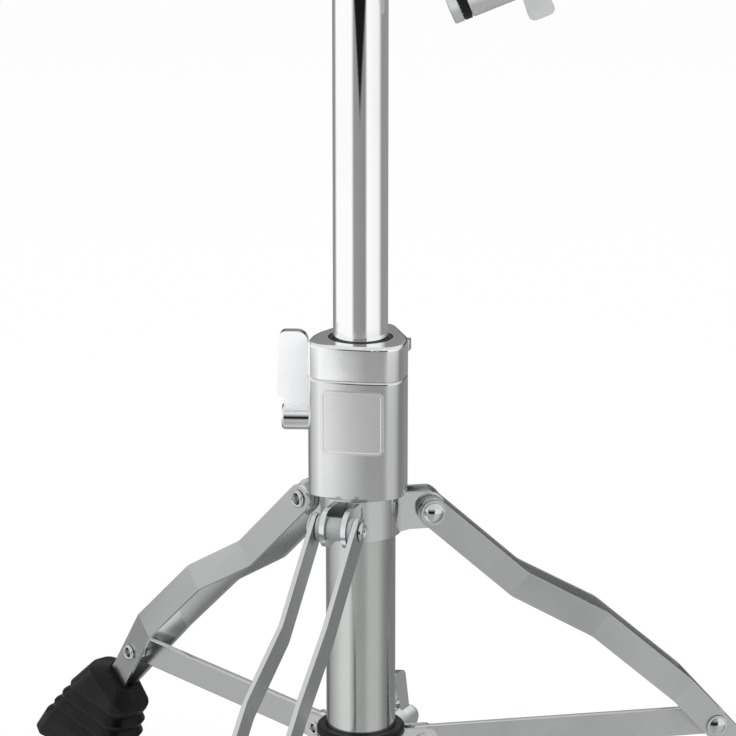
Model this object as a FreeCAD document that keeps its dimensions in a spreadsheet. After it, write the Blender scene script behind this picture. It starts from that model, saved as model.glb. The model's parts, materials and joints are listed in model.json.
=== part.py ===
"""Snare drum stand: folding double-braced tripod, telescopic tube, friction tilter and three-arm basket.

Millimetres, +Z up. The origin is on the tube's axis at floor level. One leg points to -Y.
"""
import FreeCAD
import Part
import Sketcher
import math
import os
import re

V = FreeCAD.Vector
Rotation = FreeCAD.Rotation
Placement = FreeCAD.Placement

# Driving dimensions: name, size, meaning
SIZES = (
    ("lower_od", 28.6, "lower tube, outside diameter"),
    ("lower_wall", 1.6, "lower tube wall"),
    ("lower_bottom", 33, "lower tube, height of its bottom end"),
    ("lower_top", 195, "lower tube, height of its top end inside the height collar"),
    ("plug_flange", 3, "tube plug flange"),
    ("plug_depth", 12, "tube plug depth in the tube"),
    ("plug_wall", 2, "tube plug wall"),
    ("upper_od", 22.2, "upper tube, outside diameter"),
    ("upper_wall", 1.5, "upper tube wall"),
    ("upper_bottom", 83, "upper tube, height of its bottom end"),
    ("upper_top", 393, "upper tube, height of its top end"),
    ("guide_length", 14, "guide ring on the upper tube's bottom end"),
    ("slide_gap", 0.12, "running gap of sliding and turning tubes"),
    ("seat_gap", 0.03, "gap of pieces that are fixed in each other"),
    ("pin_gap", 0.06, "radial gap of a rivet or bolt that something turns on"),
    ("face_gap", 0.25, "gap between flat faces that turn past each other"),
    ("collar_bottom", 171, "height collar, lower face"),
    ("collar_top", 220, "height collar, upper face"),
    ("collar_width", 39.4, "height collar, width"),
    ("collar_front", 18.5, "height collar, axis to front face"),
    ("front_radius", 93, "height collar, radius of the curved front"),
    ("collar_side", 2, "height collar, where the sides begin to taper"),
    ("collar_tail", 25, "height collar, axis to back face"),
    ("tail_width", 18, "height collar, width of the back face"),
    ("front_round", 9, "height collar, front corner radius"),
    ("side_round", 25, "height collar, side corner radius"),
    ("tail_round", 7, "height collar, back corner radius"),
    ("collar_bevel", 1.5, "rounding of the collar's and the lock's upper edge"),
    ("collar_turn", 8.5, "turn of the collar from the front leg, degrees"),
    ("bush_bottom", 187, "height bush, lower end"),
    ("badge_width", 25.6, "badge plate, width"),
    ("badge_tall", 26, "badge plate, height"),
    ("badge_thick", 0.9, "badge plate, thickness"),
    ("badge_round", 2.2, "badge plate, corner radius"),
    ("badge_middle", 202.6, "badge plate, height of its middle"),
    ("height_bolt_level", 200.3, "height clamp bolt, height of its axis"),
    ("height_bolt_swing", 8, "height clamp bolt, turn of its axis from square to the side, degrees"),
    ("boss_proud", 0.9, "wing bolt boss, how far it stands out of the collar"),
    ("boss_radius", 7, "wing bolt boss, radius"),
    ("lock_tall", 14, "memory lock, height"),
    ("lock_wall", 1.9, "memory lock liner, wall"),
    ("lock_liner_sunk", 0.6, "memory lock liner, depth of its end below the lock's top"),
    ("lock_slit", 2.6, "memory lock, slit"),
    ("lock_screw_back", 17.8, "memory lock screw, distance behind the axis"),
    ("lock_screw_d", 5, "memory lock screw, diameter"),
    ("lock_seat", 11.6, "memory lock screw, head seat from the middle"),
    ("key_head", 4.6, "key screw, square head across flats"),
    ("key_head_tall", 4, "key screw, square head length"),
    ("key_flange_d", 7, "key screw, flange diameter"),
    ("key_flange", 1.6, "key screw, flange thickness"),
    ("wing_reach", 28, "wing, axis to tip"),
    ("wing_wide", 10.5, "wing, width at the tip"),
    ("wing_thick", 4, "wing, thickness"),
    ("wing_round", 2.6, "wing, corner radius at the tips"),
    ("wing_hub_d", 10, "wing hub, diameter"),
    ("wing_hub_long", 12.6, "wing hub, length"),
    ("wing_bolt_d", 6, "wing bolts, shank diameter"),
    ("wing_lift", 0.6, "wing, gap between paddle and seat"),
    ("height_wing_turn", 0, "height clamp bolt, turn of its paddle from upright, degrees"),
    ("lever_reach", 36, "clamp lever, axis to tip"),
    ("lever_root", 8.5, "clamp lever, axis to the paddle's lower outer corner"),
    ("lever_wide", 13, "clamp lever, width at its root"),
    ("lever_tip", 11.4, "clamp lever, width at its tip"),
    ("lever_thick", 5, "clamp lever, thickness"),
    ("lever_round", 4.4, "clamp lever, radius of its inner tip corner"),
    ("lever_lift", 0.3, "clamp lever, gap between paddle and seat"),
    ("lever_hub_d", 10.8, "clamp lever hub, diameter"),
    ("lever_hub_long", 11, "clamp lever hub, length"),
    ("lever_socket_d", 6, "clamp lever hub, socket diameter"),
    ("lever_socket", 3, "clamp lever hub, socket depth"),
    ("pivot_radius", 28.2, "leg pivot, distance from the axis"),
    ("pivot_level", 161, "leg pivot, height"),
    ("leg_ring_wall", 2.1, "leg collar, ring wall"),
    ("leg_ring_up", 8, "leg collar, ring top above the pivot"),
    ("leg_ring_down", 8.7, "leg collar, ring bottom below the pivot"),
    ("lug_up", 7.8, "leg collar lug, top above the pivot"),
    ("lug_half", 5.6, "leg collar lug, half width outside"),
    ("lug_plate", 2.1, "leg collar lug, plate thickness"),
    ("lug_round", 8, "leg collar lug, radius of its nose"),
    ("lug_knee", 4, "leg collar lug, length of its sloping lower edge"),
    ("pivot_pin_d", 5, "leg pivot rivet, shank diameter"),
    ("pivot_head_d", 10.6, "leg pivot rivet, head diameter"),
    ("pivot_head", 2.6, "leg pivot rivet, head height"),
    ("pivot_tail_d", 8, "leg pivot rivet, rolled end diameter"),
    ("pivot_tail", 1.4, "leg pivot rivet, rolled end height"),
    ("rivet_rim", 0.9, "rivets, thickness of the head's flange"),
    ("pivot_bush_d", 9.4, "leg pivot bush, outside diameter"),
    ("pivot_washer_d", 11, "leg pivot washer, outside diameter"),
    ("strip_width", 11.9, "leg strip, width"),
    ("strip_thick", 2, "leg strip, thickness"),
    ("strip_top_out", 10, "leg strip, outer face from the leg's middle, upper part"),
    ("strip_low_out", 11.6, "leg strip, outer face from the leg's middle, lower part"),
    ("strip_end_out", 4, "leg strip, outer face from the leg's middle, in the foot"),
    ("strip_one", 49.5, "leg strip, first run"),
    ("strip_two", 39.4, "leg strip, second run"),
    ("strip_three", 48.6, "leg strip, third run"),
    ("slope_one", 42, "leg strip, slope of the first run, degrees"),
    ("slope_two", 29.4, "leg strip, slope of the second run, degrees"),
    ("slope_three", 41, "leg strip, slope of the third run, degrees"),
    ("slope_four", 48, "leg strip, slope of the foot run, degrees"),
    ("strip_bend", 14, "leg strip, radius of its bends"),
    ("rivet_run", 24, "foot rivet, distance past the last bend"),
    ("mouth_run", 23.4, "foot, mouth past the foot rivet"),
    ("strip_close", 3, "leg strip, straight run before the foot's mouth"),
    ("strip_in_foot", 20, "leg strip, length inside the foot"),
    ("foot_pin_d", 5, "foot rivet, shank diameter"),
    ("foot_head_d", 9, "foot rivet, head diameter"),
    ("foot_head", 1.8, "foot rivet, head height"),
    ("foot_tail_d", 7.2, "foot rivet, rolled end diameter"),
    ("foot_tail", 1.2, "foot rivet, rolled end height"),
    ("foot_collar_d", 8, "foot rivet, spacer diameter inside the strip"),
    ("foot_slope", 50, "foot, slope of the mouth's axis, degrees"),
    ("foot_mouth_long", 15.4, "foot mouth, length"),
    ("foot_mouth_wide", 12.4, "foot mouth, width"),
    ("foot_shoulder_out", 4, "foot shoulder, distance out from the mouth"),
    ("foot_shoulder_down", 5.8, "foot shoulder, distance below the mouth"),
    ("foot_shoulder_long", 33.4, "foot shoulder, length"),
    ("foot_shoulder_wide", 19.6, "foot shoulder, width"),
    ("foot_shoulder_slope", 57, "foot shoulder, slope of its axis, degrees"),
    ("foot_band_out", 12.6, "foot, smooth band's lower edge, distance out from the mouth"),
    ("foot_band_down", 13, "foot, smooth band's lower edge, distance below the mouth"),
    ("foot_band_long", 42.8, "foot, smooth band's lower edge, length"),
    ("foot_band_wide", 21, "foot, smooth band's lower edge, width"),
    ("foot_rib_slope", 81, "foot ribs, slope of their axis, degrees"),
    ("foot_rib_out", 4.3, "foot ribs, step outwards from rib to rib"),
    ("foot_rib_down", 6.5, "foot ribs, step down from rib to rib"),
    ("foot_rib_grow", 4, "foot ribs, growth in length from rib to rib"),
    ("foot_rib_widen", 1.4, "foot ribs, growth in width from rib to rib"),
    ("foot_rib_deep", 2.6, "foot grooves, depth at the foot's ends"),
    ("foot_rib_side", 1.8, "foot grooves, depth at the foot's sides"),
    ("foot_sole_out", 30.6, "foot sole, its middle's distance out from the mouth"),
    ("foot_sole_long", 60, "foot sole, length"),
    ("foot_sole_wide", 26.4, "foot sole, width"),
    ("foot_sole_tall", 3, "foot sole, height of its widest part"),
    ("foot_sole_edge", 0.8, "foot sole, inset of its lower edge"),
    ("foot_corner", 0.8, "foot, corner radius as a share of half the width"),
    ("foot_wall", 0.15, "foot, gap round the strips"),
    ("link_inner", 26, "brace, inner pivot's distance from the axis"),
    ("link_width", 12.4, "brace, width"),
    ("link_thick", 3, "brace, thickness"),
    ("link_pin_d", 4.4, "brace rivet, shank diameter"),
    ("link_head_d", 8, "brace rivet, head diameter"),
    ("link_head", 1.6, "brace rivet, head height"),
    ("link_tail_d", 6.4, "brace rivet, rolled end diameter"),
    ("link_tail", 1.2, "brace rivet, rolled end height"),
    ("sleeve_wall", 1, "lower collar sleeve, wall"),
    ("sleeve_flange_d", 36.6, "lower collar sleeve, flange diameter"),
    ("sleeve_flange", 2.9, "lower collar sleeve, flange thickness"),
    ("low_ring_wall", 3, "lower collar, ring wall"),
    ("low_ring_up", 6.4, "lower collar, top above the brace pivots"),
    ("low_ring_down", 10.5, "lower collar, bottom below the brace pivots"),
    ("low_lug_plate", 2, "lower collar lug, plate thickness"),
    ("low_lug_nose", 6, "lower collar lug, reach past the pivot"),
    ("low_boss_reach", 31.5, "lower collar, wing bolt boss from the axis"),
    ("low_bolt_turn", 81, "lower wing bolt, direction, degrees"),
    ("low_wing_turn", -10, "lower wing bolt, turn of its wings, degrees"),
    ("low_wing_reach", 21, "lower wing bolt, axis to tip"),
    ("tilt_turn", 19.5, "tilter, direction, degrees"),
    ("tilt_slope", 22, "tilter axis, slope, degrees"),
    ("tilt_out", 30.3, "tilter disc, distance from the axis"),
    ("tilt_drop", 15, "tilter disc, distance below the upper tube's top"),
    ("tilt_disc_d", 38, "tilter base disc, diameter"),
    ("tilt_disc", 4.3, "tilter base disc, thickness"),
    ("tilt_washer", 3, "friction washer, thickness"),
    ("tilt_washer_d", 38, "friction washer, diameter"),
    ("tilt_hub_d", 38, "bracket hub, diameter"),
    ("tilt_hub", 19, "bracket hub, length"),
    ("tilt_bolt_d", 8, "tilter bolt, diameter"),
    ("tilt_bolt_end", 41, "tilter bolt, length past the disc's back"),
    ("tilt_bolt_root", 5, "tilter bolt, depth in the base"),
    ("tilt_wing_reach", 30, "tilter wing nut, axis to tip"),
    ("tilt_wing_wide", 11.2, "tilter wing nut, width at the tip"),
    ("tilt_wing_lift", 0.5, "tilter wing nut, hub face to wing"),
    ("tilt_wing_long", 14, "tilter wing nut, hub length"),
    ("tilt_wing_turn", 8, "tilter wing nut, turn of its wings, degrees"),
    ("cap_d", 30, "tilter base socket, diameter"),
    ("cap_deep", 18, "tilter base socket, depth on the tube"),
    ("cap_roof", 5, "tilter base socket, roof"),
    ("cap_arm", 14, "tilter base arm, thickness"),
    ("bracket_thick", 13, "basket bracket arm, thickness"),
    ("bracket_base", 20, "basket bracket boss, bottom above the upper tube's top"),
    ("bracket_boss", 15, "basket bracket boss, height"),
    ("bracket_boss_d", 26, "basket bracket boss, diameter"),
    ("shaft_d", 12, "basket shaft, diameter"),
    ("shaft_top", 77, "basket shaft, top above the upper tube's top"),
    ("nut_top", 60, "basket nut, top above the upper tube's top"),
    ("nut_d", 54, "basket nut, diameter"),
    ("nut_tall", 10, "basket nut, rim height"),
    ("nut_rim", 3, "basket nut, width of its raised rim"),
    ("nut_dish", 5, "basket nut, depth inside the rim"),
    ("nut_sleeve_d", 24, "basket nut, sleeve diameter"),
    ("nut_sleeve", 8, "basket nut, sleeve length below the rim"),
    ("arm_pivot", 16, "basket arm pivot, distance from the shaft"),
    ("arm_pivot_up", 6.5, "basket arm pivot, height above the nut"),
    ("arm_tall", 10, "basket arm, height"),
    ("arm_thick", 6, "basket arm, thickness"),
    ("arm_straight", 40, "basket arm, where it begins to rise"),
    ("arm_reach", 186, "basket arm, reach of its outer face"),
    ("arm_rise", 14, "basket arm, rise to the claw"),
    ("claw_tall", 38, "basket claw, height"),
    ("claw_thick", 8, "basket claw, thickness at the tip"),
    ("claw_foot", 24, "basket claw, length of the grip along the arm"),
    ("arm_bend", 7, "basket arm, radius of its bends"),
    ("grip_wall", 2.6, "rubber grip, wall"),
    ("arm_pin_d", 5, "basket arm pin, diameter"),
    ("arm_head_d", 7.5, "basket arm pin, head diameter"),
    ("arm_head", 1.6, "basket arm pin, head height"),
    ("arm_tail_d", 6.8, "basket arm pin, rolled end diameter"),
    ("arm_tail", 1.1, "basket arm pin, rolled end height"),
    ("hub_plate", 3, "basket hub, lug plate thickness"),
    ("hub_core_d", 22, "basket hub, core diameter"),
)

# Sizes that follow from the driving dimensions
DERIVED = {
    "lower_r": "lower_od / 2",
    "lower_in": "lower_od / 2 - lower_wall",
    "upper_r": "upper_od / 2",
    "arc_middle": "front_radius - collar_front",
    "front_corner": "arc_middle - sqrt(front_radius ^ 2 - collar_width ^ 2 / 4)",
    "lock_bore": "upper_r + slide_gap + lock_wall + seat_gap",
    "half_strip": "strip_width / 2",
    "bend_one_x": "strip_one * cos(slope_one)",
    "bend_one_z": "-strip_one * sin(slope_one)",
    "bend_two_x": "bend_one_x + strip_two * cos(slope_two)",
    "bend_two_z": "bend_one_z - strip_two * sin(slope_two)",
    "bend_three_x": "bend_two_x + strip_three * cos(slope_three)",
    "bend_three_z": "bend_two_z - strip_three * sin(slope_three)",
    "foot_run": "rivet_run + mouth_run + strip_in_foot",
    "rivet_x": "bend_three_x + rivet_run * cos(slope_four)",
    "rivet_z": "bend_three_z - rivet_run * sin(slope_four)",
    "link_long": "pivot_radius + rivet_x - link_inner",
    "link_level": "pivot_level + rivet_z",
    "close_run": "rivet_run + mouth_run - strip_close",
    "close_rate": "(strip_low_out - strip_end_out) / close_run",
    "rivet_out": "strip_low_out - rivet_run * close_rate",
    "sleeve_r": "lower_r + slide_gap + sleeve_wall",
    "low_ring_r": "sleeve_r + seat_gap + low_ring_wall",
    "low_lug_half": "link_thick / 2 + face_gap + low_lug_plate",
    "wing_hub_r": "wing_hub_d / 2",
    "tilt_washer_at": "tilt_disc",
    "tilt_hub_at": "tilt_disc + tilt_washer + face_gap",
    "tilt_wing_at": "tilt_hub_at + tilt_hub + face_gap",
    "arm_low": "nut_top + face_gap",
    "arm_top": "nut_top + face_gap + arm_tall",
    "hub_half": "arm_thick / 2 + face_gap + hub_plate",
}

LEG_TURNS = {"front": 270, "right": 30, "left": 150}
ARM_TURNS = {"front": 270, "right": 30, "left": 150}
RING_TURN = LEG_TURNS["right"]
LEG_COUNT = len(LEG_TURNS)
FOOT_RIBS = 3

doc = FreeCAD.newDocument("SnareStand")
sheet = doc.addObject("Spreadsheet::Sheet", "Sizes")
for row, (alias, size, meaning) in enumerate(SIZES, start=1):
    sheet.set(f"A{row}", alias)
    sheet.set(f"B{row}", str(size))
    sheet.setAlias(f"B{row}", alias)
    sheet.set(f"C{row}", meaning)
doc.recompute()

ALIASES = {alias for alias, _, _ in SIZES}
WORD = re.compile(r"[A-Za-z_]\w*")


def bound(text):
    """Turns a formula of size names into an expression on the sheet's cells."""
    def cell(match):
        word = match.group()
        if word in DERIVED:
            return f"({bound(DERIVED[word])})"
        return f"Sizes.{word}" if word in ALIASES else word
    return WORD.sub(cell, str(text))


def value(text):
    """The present value of a formula of size names."""
    return float(sheet.evalExpression(bound(text)))


class Piece:
    """One sub-part: a body whose sketches and features are bound to the sheet."""

    def __init__(self, label):
        self.label = label
        self.body = doc.addObject("PartDesign::Body", label)
        self.body.Label = label
        self.body.AllowCompound = True

    def sketch(self, plane, level="0", turn=None):
        """A sketch on an origin plane, lifted by level and turned about its own upright axis."""
        new = self.body.newObject("Sketcher::SketchObject", f"{self.label}_sketch")
        support = [f for f in self.body.Origin.OriginFeatures if f.Role == plane][0]
        new.AttachmentSupport = [(support, "")]
        new.MapMode = "FlatFace"
        if turn is not None:
            new.AttachmentOffset = Placement(V(0, 0, 0), Rotation(V(0, 1, 0), value(turn)))
            new.setExpression("AttachmentOffset.Rotation.Angle", bound(turn))
        if level != "0":
            new.setExpression("AttachmentOffset.Base.z", bound(level))
        return new

    def feature(self, kind, profile):
        new = self.body.newObject(f"PartDesign::{kind}", f"{self.label}_{kind.lower()}")
        new.Profile = profile
        return new

    def pad(self, profile, length, symmetric=False, backwards=False):
        new = self.feature("Pad", profile)
        new.SideType = "Symmetric" if symmetric else "One side"
        new.Reversed = backwards
        new.setExpression("Length", bound(length))
        return new

    def pocket(self, profile, length, symmetric=False, backwards=False):
        """Cuts against the sketch's normal, or along it when backwards."""
        new = self.feature("Pocket", profile)
        new.SideType = "Symmetric" if symmetric else "One side"
        new.Reversed = backwards
        new.setExpression("Length", bound(length))
        return new

    def revolve(self, profile, axis="V_Axis"):
        new = self.feature("Revolution", profile)
        new.ReferenceAxis = (profile, [axis])
        new.Angle = 360
        return new

    def around(self, features, count=LEG_COUNT):
        """Repeats features about the upright axis."""
        new = self.body.newObject("PartDesign::PolarPattern", f"{self.label}_pattern")
        new.Originals = features
        upright = [f for f in self.body.Origin.OriginFeatures if f.Role == "Z_Axis"][0]
        new.Axis = (upright, [""])
        new.Angle = 360
        new.Occurrences = count
        self.body.Tip = new
        return new

    def dress(self, kind, size, chosen):
        """Fillets or chamfers the edges that the test chooses."""
        doc.recompute()
        tip = self.body.Tip
        names = [f"Edge{k + 1}" for k, edge in enumerate(tip.Shape.Edges) if chosen(edge)]
        new = self.body.newObject(f"PartDesign::{kind}", f"{self.label}_{kind.lower()}")
        new.Base = (tip, names)
        new.setExpression("Radius" if kind == "Fillet" else "Size", bound(size))
        return new

    def stand(self, level="0", turn="0"):
        """Puts the piece at its height and turns it about the tube's axis."""
        self.body.Placement = Placement(V(0, 0, 0), Rotation(V(0, 0, 1), value(turn)))
        self.body.setExpression("Placement.Base.z", bound(level))
        self.body.setExpression("Placement.Rotation.Angle", bound(turn))
        return self


def outline(sketch, points, arcs=None, axis_at=None):
    """Closes an outline through points given as pairs of formulas.

    arcs maps the number of a side to its radius formula: a plain radius bulges to the right of the
    way round, which is outwards on an outline drawn anticlockwise. axis_at adds an upright axis line.
    """
    if axis_at is not None:
        x = value(axis_at)
        line = sketch.addGeometry(Part.LineSegment(V(x, -1, 0), V(x, 1, 0)), True)
        sketch.addConstraint(Sketcher.Constraint("Vertical", line))
        lean = sketch.addConstraint(Sketcher.Constraint("DistanceX", -1, 1, line, 1, x))
        sketch.setExpression(f"Constraints[{lean}]", bound(axis_at))
        sketch.addConstraint(Sketcher.Constraint("DistanceY", -1, 1, line, 1, -1))
        sketch.addConstraint(Sketcher.Constraint("DistanceY", -1, 1, line, 2, 1))
    arcs = arcs or {}
    spots = [V(value(x), value(y), 0) for x, y in points]
    count = len(spots)
    sides = []
    for k in range(count):
        a, b = spots[k], spots[(k + 1) % count]
        if k in arcs:
            radius = value(arcs[k])
            chord = b - a
            sag = radius - math.sqrt(radius ** 2 - chord.Length ** 2 / 4)
            right = V(chord.y, -chord.x, 0).normalize()
            curve = Part.Arc(a, (a + b) * 0.5 + right * sag, b)
        else:
            curve = Part.LineSegment(a, b)
        sides.append(sketch.addGeometry(curve))
    for k in range(count):
        sketch.addConstraint(Sketcher.Constraint("Coincident", sides[k], 2, sides[(k + 1) % count], 1))
        if k in arcs:
            number = sketch.addConstraint(Sketcher.Constraint("Radius", sides[k], value(arcs[k])))
            sketch.setExpression(f"Constraints[{number}]", bound(arcs[k]))
    for k, pair in enumerate(points):
        for kind, text in zip(("DistanceX", "DistanceY"), pair):
            number = sketch.addConstraint(Sketcher.Constraint(kind, -1, 1, sides[k], 1, value(text)))
            sketch.setExpression(f"Constraints[{number}]", bound(text))
    return sketch


def circle(sketch, radius, x="0", y="0"):
    """Adds a circle given by formulas."""
    ring = sketch.addGeometry(Part.Circle(V(value(x), value(y), 0), V(0, 0, 1), value(radius)))
    for kind, text in (("DistanceX", x), ("DistanceY", y)):
        number = sketch.addConstraint(Sketcher.Constraint(kind, -1, 1, ring, 3, value(text)))
        sketch.setExpression(f"Constraints[{number}]", bound(text))
    number = sketch.addConstraint(Sketcher.Constraint("Radius", ring, value(radius)))
    sketch.setExpression(f"Constraints[{number}]", bound(radius))
    return sketch


def near(a, b):
    return abs(a - b) < 0.02


def edge_along(direction, places=None, axes=(0, 1)):
    """Chooses straight edges along a direction, at places given as formula pairs on two axes."""
    spots = None if places is None else [(value(x), value(y)) for x, y in places]

    def test(edge):
        if edge.Curve.TypeId != "Part::GeomLine":
            return False
        if abs(edge.tangentAt(edge.FirstParameter).dot(direction)) < 0.999:
            return False
        middle = edge.CenterOfMass
        return spots is None or any(near(middle[axes[0]], x) and near(middle[axes[1]], y) for x, y in spots)
    return test


def edge_round(radius):
    """Chooses the full circles of one radius."""
    size = value(radius)
    return lambda edge: edge.isClosed() and hasattr(edge.Curve, "Radius") and near(edge.Curve.Radius, size)


def edge_level(level):
    """Chooses the edges that lie in one horizontal plane."""
    height = value(level)
    return lambda edge: near(edge.BoundBox.ZMin, height) and near(edge.BoundBox.ZMax, height)


UP = V(0, 0, 1)
ACROSS = V(0, 1, 0)
pieces = []


def keep(piece, body=None):
    """Lists a finished sub-part."""
    pieces.append((piece.label, body or piece.body))
    return piece


def tube(label, outer, inner, length, level):
    """A plain ring or tube that stands on a level."""
    piece = Piece(label)
    rings = circle(circle(piece.sketch("XY_Plane"), outer), inner)
    piece.pad(rings, length)
    return keep(piece.stand(level))


def turned(label, points, level="0", turn="0", arcs=None):
    """A piece turned about the tube's axis from its half section."""
    piece = Piece(label)
    piece.revolve(outline(piece.sketch("XZ_Plane"), points, arcs))
    return keep(piece.stand(level, turn))


# Tubes, plug, bush and guide
tube("lower_tube", "lower_r", "lower_in", "lower_top - lower_bottom", "lower_bottom")
tube("upper_tube", "upper_r", "upper_r - upper_wall", "upper_top - upper_bottom", "upper_bottom")
tube("tube_guide", "lower_in - slide_gap", "upper_r + seat_gap", "guide_length", "upper_bottom")
turned("tube_plug", [
    ("0", "-plug_flange"), ("lower_r - 1", "-plug_flange"), ("lower_r", "1 - plug_flange"), ("lower_r", "0"),
    ("lower_in - seat_gap", "0"), ("lower_in - seat_gap", "plug_depth"),
    ("lower_in - plug_wall", "plug_depth"), ("lower_in - plug_wall", "0"), ("0", "0")], "lower_bottom")
turned("height_bush", [
    ("upper_r + slide_gap", "bush_bottom"), ("lower_in - seat_gap", "bush_bottom"),
    ("lower_in - seat_gap", "lower_top"), ("lower_r", "lower_top"),
    ("lower_r", "collar_top - face_gap"), ("upper_r + slide_gap", "collar_top - face_gap")])


def collar_block(label, height):
    """The drop-shaped block that the height collar and the memory lock share, with its upper edge rounded."""
    piece = Piece(label)
    half, tail = "collar_width / 2", "tail_width / 2"
    front = [(f"-{half}", "front_corner"), (half, "front_corner")]
    sides = [(half, "collar_side"), (f"-{half}", "collar_side")]
    back = [(tail, "collar_tail"), (f"-{tail}", "collar_tail")]
    shape = outline(piece.sketch("XY_Plane"), front + [sides[0]] + back + [sides[1]], {0: "front_radius"})
    piece.pad(shape, height)
    for corners, size in ((front, "front_round"), (sides, "side_round"), (back, "tail_round")):
        piece.dress("Fillet", size, edge_along(UP, corners))
    piece.dress("Fillet", "collar_bevel", edge_level(height))
    return piece


def height_collar():
    """Clamp block on the lower tube's top, with the boss and hole of its wing bolt."""
    piece = collar_block("height_collar", "collar_top - collar_bottom")
    level = "height_bolt_level - collar_bottom"
    boss = circle(piece.sketch("YZ_Plane", turn="height_bolt_swing"), "boss_radius", "0", level)
    piece.pad(boss, "collar_width / 2 + boss_proud", backwards=True)
    bore = circle(piece.sketch("XY_Plane"), "lower_r + seat_gap")
    piece.pocket(bore, "collar_top - collar_bottom", backwards=True)
    hole = circle(piece.sketch("YZ_Plane", turn="height_bolt_swing"), "wing_bolt_d / 2 + pin_gap", "0", level)
    piece.pocket(hole, "collar_width")
    return keep(piece.stand("collar_bottom", "collar_turn"))


def badge_plate():
    """Bare plate that follows the collar's curved front."""
    piece = Piece("badge_plate")
    low, high = "front_radius + seat_gap", "front_radius + seat_gap + badge_thick"
    half = "badge_width / 2"
    inner = f"arc_middle - sqrt(({low}) ^ 2 - badge_width ^ 2 / 4)"
    outer = f"arc_middle - sqrt(({high}) ^ 2 - badge_width ^ 2 / 4)"
    shape = outline(piece.sketch("XY_Plane"), [
        (f"-{half}", outer), (half, outer), (half, inner), (f"-{half}", inner)], {0: high})
    piece.pad(shape, "badge_tall")
    ends = f"arc_middle - sqrt(({low}) ^ 2 - (badge_width / 2 + 1) ^ 2)"
    hollow = outline(piece.sketch("XY_Plane"), [
        (f"-{half} - 1", "0"), (f"-{half} - 1", ends), (f"{half} + 1", ends), (f"{half} + 1", "0")], {1: low})
    piece.pocket(hollow, "badge_tall", backwards=True)

    def corner(edge):
        return edge.Length < 2 * value("badge_thick") and near(edge.BoundBox.ZLength, 0)
    piece.dress("Fillet", "badge_round", corner)
    return keep(piece.stand("badge_middle - badge_tall / 2", "collar_turn"))


def memory_lock():
    """Split stop ring on the upper tube, which rests on the height collar."""
    piece = collar_block("memory_lock", "lock_tall")
    piece.pocket(circle(piece.sketch("XY_Plane"), "lock_bore"), "lock_tall", backwards=True)
    slit = outline(piece.sketch("XY_Plane"), [
        ("-lock_slit / 2", "0"), ("lock_slit / 2", "0"),
        ("lock_slit / 2", "collar_tail + 1"), ("-lock_slit / 2", "collar_tail + 1")])
    piece.pocket(slit, "lock_tall", backwards=True)
    spot = ("lock_screw_back", "lock_tall / 2")
    hole = circle(piece.sketch("YZ_Plane"), "lock_screw_d / 2 + seat_gap", *spot)
    piece.pocket(hole, "2 * collar_width", symmetric=True)
    seat = circle(piece.sketch("YZ_Plane", "lock_seat"), "key_flange_d / 2 + 0.4", *spot)
    piece.pocket(seat, "collar_width", backwards=True)
    return keep(piece.stand("collar_top", "collar_turn"))


def lock_screw():
    """Square-headed key screw that closes the memory lock."""
    piece = Piece("lock_screw")
    piece.revolve(outline(piece.sketch("XZ_Plane"), [
        ("0", "-2 * lock_seat"), ("lock_screw_d / 2", "-2 * lock_seat"), ("lock_screw_d / 2", "0"),
        ("key_flange_d / 2", "0"), ("key_flange_d / 2", "key_flange"), ("0", "key_flange")]))
    head = outline(piece.sketch("XY_Plane", "key_flange"), [
        ("-key_head / 2", "-key_head / 2"), ("key_head / 2", "-key_head / 2"),
        ("key_head / 2", "key_head / 2"), ("-key_head / 2", "key_head / 2")])
    piece.pad(head, "key_head_tall")
    turn = Rotation(UP, value("collar_turn"))
    spot = turn.multVec(V(value("lock_seat"), value("lock_screw_back"), 0))
    spot.z = value("collar_top + lock_tall / 2")
    piece.body.Placement = Placement(spot, turn * Rotation(ACROSS, 90))
    return keep(piece)


height_collar()
badge_plate()
memory_lock()
lock_screw()
tube("lock_liner", "lock_bore - seat_gap", "upper_r + slide_gap", "lock_tall - lock_liner_sunk - face_gap",
     "collar_top + face_gap")


def wing(label, bore=None, shank=None, reach="wing_reach", wide="wing_wide", lift="wing_lift",
         long="wing_hub_long"):
    """Wing nut with a bore, or wing bolt with a shank, that sits on z = 0 and points up."""
    piece = Piece(label)
    inner = bore or "0"
    section = [("wing_hub_r", "0"), ("wing_hub_r", f"{long} - 2"), ("wing_hub_r - 0.8", long), (inner, long)]
    if shank:
        end = f"-({shank})"
        section = [("0", end), ("wing_bolt_d / 2", end), ("wing_bolt_d / 2", "0")] + section
    else:
        section = [(inner, "0")] + section
    far = f"{lift} + {wide}"
    tips = [(f"-{reach}", lift), (reach, lift), (reach, far), (f"-{reach}", far)]
    low, high = f"{lift} + 0.14 * {wide}", f"{lift} + 0.86 * {wide}"
    paddles = outline(piece.sketch("XZ_Plane"), [
        tips[0], ("-wing_hub_r", low), ("wing_hub_r", low), tips[1],
        tips[2], ("wing_hub_r", high), ("-wing_hub_r", high), tips[3]])
    piece.pad(paddles, "wing_thick", symmetric=True)
    piece.dress("Fillet", "wing_round", edge_along(ACROSS, tips, (0, 2)))
    piece.revolve(outline(piece.sketch("XZ_Plane"), section))
    if bore:
        piece.pocket(circle(piece.sketch("XY_Plane"), bore), long, backwards=True)
    return piece


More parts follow.
